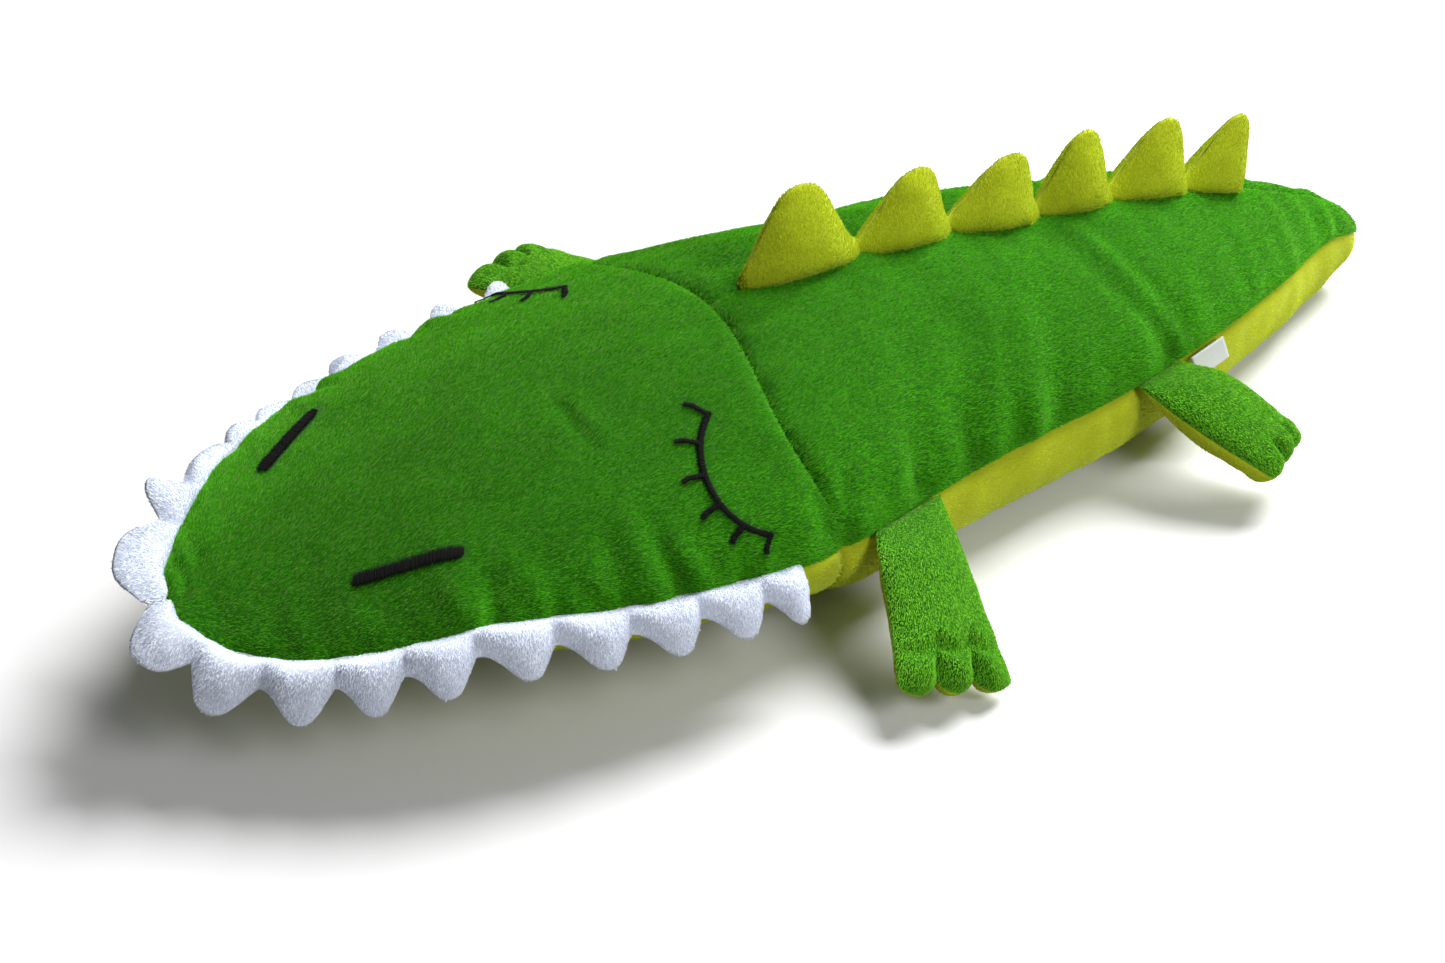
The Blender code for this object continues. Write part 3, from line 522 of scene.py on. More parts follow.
FLANK_FOLDS = [
    ([(0.402, 2), (0.404, 14), (0.408, 28)], 6, 4.0),
    ([(0.480, 0), (0.474, 12), (0.470, 26)], 6, 3.2),
    ([(0.482, 2), (0.479, 27), (0.501, 55)], 12, 2.4),
    ([(0.519, 4), (0.524, 29), (0.548, 52)], 13, 2.8),
    ([(0.548, 4), (0.552, 28), (0.568, 48)], 9, -1.8),
    ([(0.580, 4), (0.581, 26), (0.594, 46)], 9, -2.2),
    ([(0.605, 4), (0.606, 26), (0.620, 50)], 10, 2.4),
    ([(0.722, 8), (0.690, 44), (0.672, 74)], 9, 3.0),
    ([(0.733, 20), (0.712, 50), (0.703, 76)], 8, 2.4),
    ([(0.727, 14), (0.701, 47), (0.688, 75)], 6, -1.6),
    ([(0.941, 28), (0.9375, 74)], 6, -1.8),
    ([(0.956, 20), (0.953, 80)], 5, 1.4),
]
for side, quarters, middle, folds in (("left", (0, 1), "right", FLANK_FOLDS),
                                      ("right", (1, 2), "left", other_side(FLANK_FOLDS, 0.018))):
    seams = {**ALL_ROUND, "start": FINE_SEAM, "end": END_SEAM, middle: FINE_SEAM}
    outer = stuffed(body_cloth(*quarters, *BACK_GRID, SINK), seams, 3, folds, wave=2.0 * MM)
    sew(f"back_{side}", outer, under_side(outer), GREEN_GROUND, "trunk", "green_plush",
        [f"back_panel_{side}"], 0, behind_seam(outer, ("end",), BACK_END_BARE))
belly_seams = {"left": BELLY_SEAM, "right": BELLY_SEAM, "start": FINE_SEAM, "end": END_SEAM}
belly_outer = stuffed(body_cloth(2, 4, *BELLY_GRID, SINK), belly_seams, 5, wave=1.2 * MM)
belly_inner = under_side(belly_outer)
belly_inner[..., 2] = np.maximum(belly_inner[..., 2], CLOTH - SINK)
sew("belly", belly_outer, belly_inner, YELLOW_GROUND, "trunk", "yellow_plush", ["belly_panel"],
    0, off_floor(belly_outer) * behind_seam(belly_outer, ("end",), BELLY_END_BARE)
    * behind_seam(belly_outer, ("left", "right"), BELLY_SIDE_BARE))

# Fibre filling of head and body. Loose white polyester is pushed in by hand through a seam that is then
# closed. It is one soft lump in the head and one in the body, and shows nowhere.
FILLING_GAP = 1.2 * MM
FILLING_INSET = 13 * MM
FILLING_GRID = (40, 32)
THINNEST_FILLING = 5 * MM


def fibre():
    material, tree, shader = principled("polyester_fibre", 0.9, 0.2)
    place = add(tree, "ShaderNodeTexCoord").outputs["Object"]
    wool = add(tree, "ShaderNodeTexNoise", {"Scale": 320.0, "Detail": 6.0, "Distortion": 1.5},
               Vector=place)
    shade = mixed(tree, "MIX", wool.outputs["Fac"], (0.62, 0.62, 0.60, 1), (0.90, 0.90, 0.88, 1))
    tree.links.new(shade, shader.inputs["Base Color"])
    bumped(tree, shader, wool.outputs["Fac"], 0.8, 1.0 * MM)
    return material


FIBRE = fibre()


def lump(name, rings, body, replaces):
    """A closed form from rings of points, with a fan of faces over each end."""
    rows, columns = rings.shape[:2]
    points = rings.reshape(-1, 3).tolist() + [rings[end].mean(axis=0).tolist() for end in (0, -1)]
    faces = []
    for row in range(rows - 1):
        for column in range(columns):
            beside = (column + 1) % columns
            faces.append((row * columns + column, row * columns + beside,
                          (row + 1) * columns + beside, (row + 1) * columns + column))
    for first, tip in ((0, rows * columns), ((rows - 1) * columns, rows * columns + 1)):
        faces += [(first + column, first + (column + 1) % columns, tip) for column in range(columns)]
    mesh = bpy.data.meshes.new(name)
    mesh.from_pydata(points, [], faces)
    face_out(mesh)
    piece = finished(name, mesh, FIBRE)
    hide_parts(replaces)
    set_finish(piece, "fibre_filling")
    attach(piece, body)


for place, cloth in (("head", head_cloth), ("body", body_cloth)):
    rings = np.concatenate([cloth(*quarters, *FILLING_GRID, FILLING_INSET)[:, :-1]
                            for quarters in ((0, 2), (2, 4))], axis=1)
    rings[..., 2] = np.maximum(rings[..., 2], CLOTH + FILLING_GAP)
    wide = np.ptp(rings[..., 0], axis=1) > THINNEST_FILLING
    lump(f"{place}_fibre", rings[wide], "trunk", f"{place}_filling")

# Teeth. A strip of ten stuffed white teeth stands out of the mouth seam on each side, from the middle
# of the nose to the cheek. Each is two white plies sewn along the teeth's edge and lightly filled.
TEETH = {
    "left": ((1.00, 1.03, 1.03, 0.90, 0.91, 1.11, 1.12, 1.10, 1.03, 0.77),
             (2, 30, 47, 49, 49, 50, 54, 56, 56, 50)),
    "right": ((1.45, 0.85, 1.25, 0.85, 0.85, 0.85, 0.95, 1.00, 0.95, 1.00),
              (-12, -20, 50, 45, 55, 45, 12, 0, -20, -48)),
}
TEETH_END_SHARE = 0.362
TOOTH_ROOT = -4.5 * MM
TOOTH_REACH = 25.5 * MM
TOOTH_VALLEY = 9.5 * MM
TOOTH_HALF_THICKNESS = 9 * MM
TOOTH_PINCH = 2.7 * MM
TOOTH_PRESS_SHARE = 0.22
TOOTH_LEAN = 1.6
TOOTH_SWELL = 0.6
TOOTH_FULLNESS = 1.5
TOOTH_LUMPS = 9 * MM
BLUNTNESS = 6
BLUNT_SPREAD = 1.15
ALONG_SPREAD = 0.7
ACROSS_SPREAD = 0.8
EDGE_CROWDING = 1.3
TOOTH_BARE = 1.3 * MM
TOOTH_STEPS = 14
TOOTH_ROWS = 12
TRIM_CLOTH = 2 * MM
HALF_GAP = 0.15 * MM


def blunt(position, margin, fullness):
    """A blunt point: 0 at both ends of a tooth and within its margin, with a round top in its middle."""
    rise = fullness * np.clip((1 - np.abs(2 * position - 1) - 2 * margin) / (1 - 2 * margin), 0, 1)
    top = fullness / (1 + fullness ** BLUNTNESS) ** (1 / BLUNTNESS)
    return (rise / (1 + rise ** BLUNTNESS) ** (1 / BLUNTNESS) / top) ** BLUNT_SPREAD


def strip_swell(index, position, count, full, pinch):
    """Half thickness along a strip: full in each tooth, pinched between, closed at both ends."""
    at_end = ((index == 0) & (position < 0.5)) | ((index == count - 1) & (position > 0.5))
    low = np.where(at_end, 0.0, pinch)
    return low + (full - low) * np.maximum(np.sin(math.pi * position), 0) ** ALONG_SPREAD


def across_swell(share, power):
    """Half thickness across a strip, from root to edge. A low power puts most of it near the root."""
    return np.sin(math.pi * np.clip(share, 0, 1) ** power) ** ACROSS_SPREAD


def strip_columns(count, steps):
    index = np.minimum(np.arange(count * steps + 1) // steps, count - 1)
    return index, np.arange(count * steps + 1) / steps - index


def mouth_seam():
    last = (TEETH_END_SHARE - 0.5) * LENGTH
    y = -LENGTH / 2 + np.linspace(0, 1, 401) ** 1.6 * (last + LENGTH / 2)
    half_width, seam_z = station(y)[:2]
    path = np.stack((half_width, y, seam_z), axis=-1)
    path = np.concatenate(([(0.0, y[0], seam_z[0])], path))
    walked = np.concatenate(([0.0], np.cumsum(np.linalg.norm(np.diff(path, axis=0), axis=-1))))
    return path, walked


def at_walk(path, walked, distance):
    return np.stack([np.interp(distance, walked, path[:, axis]) for axis in range(3)], axis=-1)


def tooth_cloth(side, face, seam_gap, inset):
    """A ply of the strip. Each tooth has its own width, and droops as it lies in the photograph."""
    path, walked = mouth_seam()
    shares, droops = (np.array(values) for values in TEETH["left" if side > 0 else "right"])
    count = len(shares)
    index, position = strip_columns(count, TOOTH_STEPS)
    widths = shares * walked[-1] / shares.sum()
    ends = np.concatenate(([0.0], np.cumsum(widths)))
    distance = np.clip(ends[index] + position * widths[index], HALF_GAP + inset, walked[-1] - inset)
    droop = np.radians(np.interp(distance, ends[:-1] + widths / 2, droops))[:, None]
    window = walked[-1] / count / 3
    here = at_walk(path, walked, distance)
    along = at_walk(path, walked, np.minimum(distance + window, walked[-1]))
    along = along - at_walk(path, walked, np.maximum(distance - window, 0))
    outward_way = np.stack((along[:, 1], -along[:, 0], 0 * along[:, 0]), axis=-1)
    outward_way /= np.linalg.norm(outward_way, axis=-1, keepdims=True)
    down = np.array((0.0, 0.0, -1.0))
    out = outward_way * np.cos(droop) + down * np.sin(droop)
    normal = outward_way * np.sin(droop) - down * np.cos(droop)
    swept = position ** np.where(index > 1, TOOTH_LEAN, 1.0)
    standing = blunt(swept, inset / widths[index], TOOTH_FULLNESS)
    reach = TOOTH_VALLEY + (TOOTH_REACH - TOOTH_VALLEY) * standing
    pressed = 1 - TOOTH_PRESS_SHARE * np.maximum(-face * np.sin(droop[:, 0]), 0)
    full, pinch = pressed * TOOTH_HALF_THICKNESS - inset, pressed * TOOTH_PINCH - inset
    swell = strip_swell(index, position, count, full, pinch)
    share = 1 - (1 - np.linspace(0, 1, TOOTH_ROWS + 1)) ** EDGE_CROWDING
    run = TOOTH_ROOT + inset + share[None, :] * (reach - TOOTH_ROOT - 2 * inset)[:, None]
    high = face * (seam_gap + swell[:, None] * across_swell(share, TOOTH_SWELL)[None, :])
    points = here[:, None] + out[:, None] * run[..., None] + normal[:, None] * high[..., None]
    return twist_snout(points * (side, 1, 1))


for side, name in ((1, "left"), (-1, "right")):
    for face, half in ((1, "upper"), (-1, "lower")):
        outer = tooth_cloth(side, face, HALF_GAP, 0.0)
        outer = outer + (rumple(outer, TOOTH_LUMPS, 11) * 0.8 * MM)[..., None] * outward(outer)
        inner = tooth_cloth(side, face, HALF_GAP, TRIM_CLOTH)
        sew(f"teeth_{name}_{half}", outer, inner, WHITE_GROUND, "trunk", "white_plush",
            [f"teeth_{name}_{half}_ply"], 1, behind_seam(outer, ("right",), TOOTH_BARE))
    inset = TRIM_CLOTH + FILLING_GAP
    rings = np.concatenate((tooth_cloth(side, 1, 0.0, inset)[:, :-1],
                            tooth_cloth(side, -1, 0.0, inset)[:, :0:-1]), axis=1)
    lump(f"teeth_{name}_fibre", rings[2:-2], "trunk", f"teeth_{name}_filling")

# Spikes. Six stuffed yellow spikes stand in one strip in the centre-back seam, behind the neck. The
# first stands upright and the others lean to the tail. Two plies are sewn along their slopes.
SPIKE_BASE_SHARES = np.array((0.426, 0.522, 0.599, 0.677, 0.743, 0.8155, 0.871))
SPIKE_HEIGHT_SHARES = np.array((1.0, 0.82, 0.79, 0.90, 0.90, 0.94))
SPIKE_LEAN_SHARES = np.array((0.0, 0.15, 0.20, 0.14, 0.23, 0.42))
SPIKE_HEIGHT = 50 * MM
SPIKE_NECK = 5 * MM
SPIKE_HALF_THICKNESS = 16 * MM
SPIKE_PINCH = 3 * MM
SPIKE_ROOT = -3 * MM
SPIKE_SWELL = 0.42
SPIKE_FULLNESS = 1.55
SPIKE_FRONT_POINT, SPIKE_BACK_POINT = 1.1, 1.4
SPIKE_LUMPS = 11 * MM
SPIKE_BARE = 1.0 * MM
SPIKE_STEPS = 18
SPIKE_ROWS = 16


def spike_cloth(side, seam_gap, inset):
    count = len(SPIKE_HEIGHT_SHARES)
    index, position = strip_columns(count, SPIKE_STEPS)
    base = (SPIKE_BASE_SHARES - 0.5) * LENGTH
    width = base[index + 1] - base[index]
    y = np.clip(base[index] + position * width, base[0] + inset, base[-1] - inset)
    pointed = np.where(position < 0.5, SPIKE_FRONT_POINT, SPIKE_BACK_POINT)
    lift, narrowed = (blunt(position, margin, SPIKE_FULLNESS) ** pointed
                      for margin in (0.0, inset / width))
    rise = SPIKE_HEIGHT_SHARES[index] * SPIKE_HEIGHT - SPIKE_NECK
    height = SPIKE_NECK + rise * narrowed
    lean = SPIKE_LEAN_SHARES[index] * width * lift / (SPIKE_NECK + rise * lift)
    swell = strip_swell(index, position, count, SPIKE_HALF_THICKNESS - inset, SPIKE_PINCH - inset)
    share = 1 - (1 - np.linspace(0, 1, SPIKE_ROWS + 1)) ** EDGE_CROWDING
    up = SPIKE_ROOT + inset + share[None, :] * (height - SPIKE_ROOT - 2 * inset)[:, None]
    along = y[:, None] + up * lean[:, None]
    seam_z, crown = station(along)[1:3]
    x = side * (seam_gap + swell[:, None] * across_swell(share, SPIKE_SWELL)[None, :])
    return np.stack((x, along, seam_z + crown + up), axis=-1)


for side, name in ((1, "left"), (-1, "right")):
    outer = spike_cloth(side, HALF_GAP, 0.0)
    outer[..., 0] += side * np.maximum(rumple(outer, SPIKE_LUMPS, 13), -0.4) * 1.1 * MM
    sew(f"spikes_{name}", outer, spike_cloth(side, HALF_GAP, TRIM_CLOTH), YELLOW_GROUND, "trunk",
        "yellow_plush", [f"spikes_{name}_ply"], 1, behind_seam(outer, ("right",), SPIKE_BARE))
inset = TRIM_CLOTH + FILLING_GAP
rings = np.concatenate((spike_cloth(1, 0.0, inset)[:, :-1],
                        spike_cloth(-1, 0.0, inset)[:, :0:-1]), axis=1)
lump("spikes_fibre", rings[2:-2], "trunk", "spikes_filling")

# Legs. Four flat stuffed paws, green above and yellow below, are caught in the side seams and hinge
# there. Each ends in three toes, parted by creases that are sewn through.
FRONT_LEG = {"root": 50 * MM, "waist": 53 * MM, "paw": 67 * MM, "length": 101 * MM, "thick": 13.5 * MM,
             "toe": 10 * MM, "cleft": 0.80, "edge": 0.5 * MM}
REAR_LEG = {"root": 38 * MM, "waist": 48 * MM, "paw": 42 * MM, "length": 84 * MM, "thick": 17 * MM,
            "toe": 5 * MM, "cleft": 0.3, "edge": 3.5 * MM}
LEGS = (
    ("front_left", FRONT_LEG, 1, 0.457, 32, -26),
    ("front_right", FRONT_LEG, -1, 0.443, 10, -38),
    ("rear_left", REAR_LEG, 1, 0.708, 25, 16),
    ("rear_right", REAR_LEG, -1, 0.708, 26, 20),
)
SEAM_CLEARANCE = 0.5 * MM
LEG_ROOT = -2.5 * MM
TOES = 3
LEG_ROWS = 44
LEG_COLUMNS = 48
WEDGE_SHARE = 0.42
WAIST_SHARE = 0.45
SWEPT_SHARE = 0.60
LEG_CROWDING = 1.6
TIP_FROM, TIP_SHARE = 0.86, 0.14
TOES_FROM, TOES_FADE = 0.82, 0.10
KNUCKLE_PLACE, KNUCKLE_SHARE = 0.81, 0.045
CREASE_SHARE = 0.13
RUMPLE_SIZE = 15 * MM
FILLED_ROWS = slice(1, -15)


def seam_frame(place_share, width, droop, side):
    """Hinge point of a flap caught in the side seam, and its ways along the seam, outwards and up."""
    middle = (place_share - 0.5) * LENGTH
    y = np.array((middle - width / 2, middle + width / 2))
    half_width, seam_z = station(y)[:2]
    ends = np.stack((half_width, y, seam_z), axis=-1)
    along = (ends[1] - ends[0]) / np.linalg.norm(ends[1] - ends[0])
    outward_way = np.array((along[1], -along[0], 0.0)) / math.hypot(along[0], along[1])
    level = np.cross(outward_way, along)
    out = outward_way * math.cos(droop) - level * math.sin(droop)
    normal = outward_way * math.sin(droop) + level * math.cos(droop)
    hinge = (ends[0] + ends[1]) / 2 + outward_way * SEAM_CLEARANCE
    return [v * np.array((side, 1.0, 1.0)) for v in (hinge, along, out, normal)]


def leg_cloth(leg, axes, sweep, face, seam_gap, inset):
    """A wedge at its seam, so that it can hinge, which bends by its sweep and ends in toes."""
    hinge, along, out, normal = axes
    centre = out * math.cos(sweep) + along * math.sin(sweep)
    share = (1 - (1 - np.linspace(0, 1, LEG_ROWS + 1)) ** LEG_CROWDING)[:, None]
    across = (2 * crowded(LEG_COLUMNS, 0.35) - 1)[None, :]
    widths = np.array((leg["root"], leg["waist"], leg["paw"]))
    half_width = through(np.array((0.0, WAIST_SHARE, 1.0)), widths, share) / 2 - inset
    wedge = np.minimum(share / WEDGE_SHARE, 1)
    tip = np.clip((share - TIP_FROM) / TIP_SHARE, 0, 1)
    thickness = (leg["thick"] - inset) * (1 - (1 - wedge) ** 2) * np.sqrt(1 - tip ** 2)
    turn = sweep * through(np.array((0.0, SWEPT_SHARE, 1.0)), np.array((0.0, 1.0, 1.0)), share)
    lobe = np.abs(np.cos(TOES * math.pi / 2 * across))
    shortening = (1 - lobe ** 0.6) * (1 - 0.4 * np.abs(across))
    reach = LEG_ROOT + inset + share * (leg["length"] - leg["toe"] * shortening - LEG_ROOT - 2 * inset)
    from_crease = np.minimum(np.abs(across - 1 / TOES), np.abs(across + 1 / TOES))
    toe_zone = np.clip((share - TOES_FROM) / TOES_FADE, 0, 1)
    at_knuckle = np.exp(-((share - KNUCKLE_PLACE) / KNUCKLE_SHARE) ** 2)
    knuckle = 0.5 * leg["cleft"] * at_knuckle * (1 - 0.5 * across ** 2)
    crease = (1 - knuckle) * (1 - leg["cleft"] * np.exp(-(from_crease / CREASE_SHARE) ** 2) * toe_zone)
    swell = thickness * crease * np.sqrt(np.maximum(1 - across ** 2, 0))
    level = leg["edge"] * np.maximum(across ** 4 * wedge, tip ** 2)
    sideways = along * np.cos(turn)[..., None] - out * np.sin(turn)[..., None]
    points = hinge + centre * reach[..., None] + sideways * (half_width * across)[..., None]
    return points + normal * (level + face * (seam_gap + swell))[..., None]


for place, leg, side, place_share, droop, sweep in LEGS:
    end, flank = place.split("_")
    body = f"{end}_{flank}_leg"
    axes = seam_frame(place_share, leg["root"], math.radians(droop), side)
    sweep = math.radians(sweep)
    for face, half, slot, ground in ((1, "upper", "green_plush", GREEN_GROUND),
                                     (-1, "sole", "yellow_plush", YELLOW_GROUND)):
        outer = leg_cloth(leg, axes, sweep, face, HALF_GAP, 0.0)
        edge = (np.minimum(1, 8 * (1 - np.linspace(-1, 1, LEG_COLUMNS + 1) ** 2))[None, :]
                * np.minimum(1, 6 * np.linspace(1, 0, LEG_ROWS + 1))[:, None])
        bend = rumple(outer * (1.0, 1.0, 0.5), RUMPLE_SIZE, 17) * 1.3 * MM * edge
        outer = outer + bend[..., None] * axes[3] * face
        inner = leg_cloth(leg, axes, sweep, face, HALF_GAP, CLOTH)
        sew(f"leg_{place}_{half}", outer, inner, ground, body, slot, [f"leg_{place}_{half}_ply"], 0)
    upper, lower = (leg_cloth(leg, axes, sweep, face, 0.0, CLOTH + FILLING_GAP) for face in (1, -1))
    rings = np.concatenate((upper[:, :-1], lower[:, :0:-1]), axis=1)
    lump(f"leg_{place}_fibre", rings[FILLED_ROWS], body, f"leg_{place}_filling")

# Nostrils and closed eyes. Each is satin stitch in black thread, worked on the head before it was
# stuffed: short threads side by side across a bar or a line, with lashes fanned out from the eye.
NOSTRIL_ANGLE = math.radians(52)
NOSTRIL_SHARES = {"left": 0.133, "right": 0.125}
NOSTRIL_LENGTH = 49 * MM
NOSTRIL_WIDTH = 9 * MM
NOSTRIL_TURN = math.radians(14)
EYE_ANGLE = math.radians(38.5)
EYE_SHARE = 0.345
EYE_CHORD = 74 * MM
EYE_SAG = 22 * MM
EYE_LINE = 3.9 * MM
LASH_LENGTH = 12.5 * MM
LASH_WIDTH = 3.6 * MM
LASHES = 6
LASH_HOOK = ((0.0, 0.0), (0.7, 0.0), (1.0, 0.03))
THREAD_PITCH = 0.42 * MM
THREAD_HEIGHT = 1.3 * MM
THREAD_RADIUS = 0.42 * MM
LOOK_OUT = 12 * MM


def thread():
    material, tree, shader = principled("black_satin_thread", 0.6, specular=0.04)
    place = add(tree, "ShaderNodeTexCoord").outputs["Object"]
    twist = add(tree, "ShaderNodeTexNoise", {"Scale": 2400.0, "Detail": 2.0}, Vector=place)
    shade = mixed(tree, "MIX", twist.outputs["Fac"], (0.001, 0.001, 0.001, 1), (0.009, 0.009, 0.008, 1))
    tree.links.new(shade, shader.inputs["Base Color"])
    bumped(tree, shader, twist.outputs["Fac"], 0.4, 0.1 * MM)
    return material


def named(tree, name, kind="FLOAT"):
    """What a mesh carries under this name."""
    node = add(tree, "GeometryNodeInputNamedAttribute", {"Name": name}, {"data_type": kind})
    return node.outputs["Attribute"]


def copies(tree, points, piece, z_way, x_way, scale):
    """Copies of a piece on points, each turned so that its Z and X lie along two ways."""
    turn = add(tree, "FunctionNodeAxesToRotation", {"Primary Axis": z_way, "Secondary Axis": x_way},
               {"primary_axis": "Z", "secondary_axis": "X"})
    laid = add(tree, "GeometryNodeInstanceOnPoints", Points=points, Instance=piece,
               Rotation=turn.outputs["Rotation"], Scale=scale)
    return add(tree, "GeometryNodeRealizeInstances", Geometry=laid.outputs["Instances"]).outputs["Geometry"]


def coloured(tree, geometry, given, made):
    """Gives geometry the material that is handed in, and hands it out of the tree."""
    last = add(tree, "GeometryNodeSetMaterial", Geometry=geometry, Material=given.outputs["Material"])
    tree.links.new(last.outputs["Geometry"], made.inputs["Geometry"])


def stitch_tree():
    """A thread across each point, as long as the line is wide there."""
    tree, given, made = group_tree("satin_stitches", "GeometryNodeTree", [
        ("Geometry", "NodeSocketGeometry"), ("Radius", "NodeSocketFloat", 0.0004),
        ("Material", "NodeSocketMaterial")], [("Geometry", "NodeSocketGeometry")])
    sphere = add(tree, "GeometryNodeMeshUVSphere", {"Segments": 6, "Rings": 6, "Radius": 1.0})
    radius = given.outputs["Radius"]
    size = add(tree, "ShaderNodeCombineXYZ", X=named(tree, "half_length"), Y=radius, Z=radius)
    threads = copies(tree, given.outputs["Geometry"], sphere.outputs["Mesh"],
                     named(tree, "up", "FLOAT_VECTOR"), named(tree, "across", "FLOAT_VECTOR"),
                     size.outputs["Vector"])
    coloured(tree, threads, given, made)
    return tree


def grown(name, base, tree, values, smooth=True):
    """Runs a tree on a mesh and gives what it makes as a plain mesh object."""
    carrier = placed("carrier", base)
    work = carrier.modifiers.new("work", "NODES")
    work.node_group = tree
    for item in tree.interface.items_tree:
        if item.name in values:
            work[item.identifier] = values[item.name]
    mesh = bpy.data.meshes.new_from_object(carrier.evaluated_get(bpy.context.evaluated_depsgraph_get()))
    bpy.data.objects.remove(carrier)
    mesh.name = name
    if smooth:
        mesh.shade_smooth()
    return placed(name, mesh)


def carry(mesh, fields):
    """Stores values for each point of a mesh under their names, for a tree to read."""
    for name, values in fields.items():
        ways = np.size(values) > len(mesh.vertices)
        store = mesh.attributes.new(name, "FLOAT_VECTOR" if ways else "FLOAT", "POINT")
        store.data.foreach_set("vector" if ways else "value",
                               np.ascontiguousarray(values, np.float32).ravel())


head_mesh = head_top.data
head_tree = BVHTree.FromPolygons([v.co for v in head_mesh.vertices],
                                 [p.vertices for p in head_mesh.polygons])
rng = np.random.default_rng(7)


def on_head(line, angle, share, side):
    """Lays flat points, (out from the crown, towards the nose), on the head, with its normals."""
    y = (share - 0.5) * LENGTH
    step = math.radians(1)
    ends = skin(np.array((y, y)), np.array((angle - step, angle + step)))
    arc = np.linalg.norm(ends[1] - ends[0]) / (2 * step)
    places, normals = [], []
    for x, forward in line:
        here = np.array(y - forward), np.array(angle - x / arc)
        outside, inside = (Vector(twist_snout(skin(*here, inset) * (side, 1, 1)))
                           for inset in (-LOOK_OUT, LOOK_OUT))
        spot, normal = head_tree.ray_cast(outside, (inside - outside).normalized())[:2]
        places.append(spot)
        normals.append(normal if normal.dot(outside - inside) > 0 else -normal)
    return np.array(places), np.array(normals)


def stitched_line(line, width, angle, share, side):
    """Threads across a flat line of points, each with its length, slant and height a little uneven."""
    line = np.array(line)
    walked = np.concatenate(([0.0], np.cumsum(np.linalg.norm(np.diff(line, axis=0), axis=-1))))
    steps = np.arange(0, walked[-1], THREAD_PITCH)
    flat = np.stack([np.interp(steps, walked, line[:, axis]) for axis in (0, 1)], axis=-1)
    places, normals = on_head(flat, angle, share, side)
    way = np.gradient(places, axis=0)
    way /= np.linalg.norm(way, axis=-1, keepdims=True)
    across = np.cross(normals, way) + way * rng.uniform(0.10, 0.25, (len(way), 1))
    across /= np.linalg.norm(across, axis=-1, keepdims=True)
    from_end = np.minimum(steps, walked[-1] - steps)
    round_end = np.sqrt(np.clip(1 - (1 - np.minimum(from_end / (width / 2) + 0.25, 1)) ** 2, 0, 1))
    half = width / 2 * round_end * rng.uniform(0.84, 1.14, len(way))
    lifted = places + normals * (THREAD_HEIGHT + rng.uniform(-0.15, 0.15, (len(way), 1)) * MM)
    return lifted, across, normals, half


def nostril_lines():
    cos, sin = math.cos(NOSTRIL_TURN), math.sin(NOSTRIL_TURN)
    half = NOSTRIL_LENGTH / 2
    return [([(-half * sin * t, half * cos * t) for t in (-1.0, 1.0)], NOSTRIL_WIDTH)]


def eye_lines():
    radius = (EYE_CHORD ** 2 / 4 + EYE_SAG ** 2) / (2 * EYE_SAG)
    half_turn = math.asin(EYE_CHORD / 2 / radius)

    def at(distance, turn):
        return distance * math.sin(turn), distance * math.cos(turn) - radius + EYE_SAG

    lines = [([at(radius, half_turn * t) for t in np.linspace(-1, 1, 41)], EYE_LINE)]
    for t in np.linspace(-0.97, 0.97, LASHES):
        lash = [at(radius + LASH_LENGTH * far, half_turn * t + turn) for far, turn in LASH_HOOK]
        lines.append((lash, LASH_WIDTH))
    return lines


THREAD = thread()
SATIN = stitch_tree()
stitched_places = []
for side, name in ((1, "left"), (-1, "right")):
    for kind, lines, angle, share in (("nostril", nostril_lines(), NOSTRIL_ANGLE, NOSTRIL_SHARES[name]),
                                      ("closed_eye", eye_lines(), EYE_ANGLE, EYE_SHARE)):
        laid = [stitched_line(line, width, angle, share, side) for line, width in lines]
        places, across, normals, half = (np.concatenate(values) for values in zip(*laid))
        stitched_places.append((places - normals * THREAD_HEIGHT, half))
        base = bpy.data.meshes.new("points")
        base.from_pydata([tuple(place) for place in places], [], [])
        carry(base, {"across": across, "up": normals, "half_length": half})
        piece = grown(f"{kind}_stitches_{name}", base, SATIN, {"Radius": THREAD_RADIUS, "Material": THREAD})
        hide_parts(f"{kind}_{name}")
        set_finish(piece, "black_thread")
        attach(piece, "trunk")

# Pile. Every plush panel carries a short dense pile of polyester fibres, brushed from the nose to the
# tail, from root to toe and from seam to tip. The fibres stand in small tufts, which are what shows.
PILE = {
    "green_plush": (1.35, 2.3 * MM, 0.35 * MM, 0.36),
    "yellow_plush": (1.55, 1.7 * MM, 0.35 * MM, 0.25),
    "white_plush": (1.80, 1.5 * MM, 0.39 * MM, 0.15),
}
UNDER_DENSITY = 0.45
SOLE_DENSITY = 1.0
LEG_PILE = (1.6, 0.62, 0.80, 0.4)
LEAN = 2.8
UNEVEN = 0.95
MOST_TUFTS = 60000
CLEAR_OF_THREAD = 0.6 * MM


def vector(tree, operation, first, second):
    node = add(tree, "ShaderNodeVectorMath", {0: first, "Scale" if operation == "SCALE" else 1: second},
               {"operation": operation})
    return node.outputs["Vector"]


def stored(tree, name, geometry, value, kind="FLOAT", domain="POINT"):
    node = add(tree, "GeometryNodeStoreNamedAttribute", {
        "Name": name, "Geometry": geometry, "Value": value}, {"data_type": kind, "domain": domain})
    return node.outputs["Geometry"]


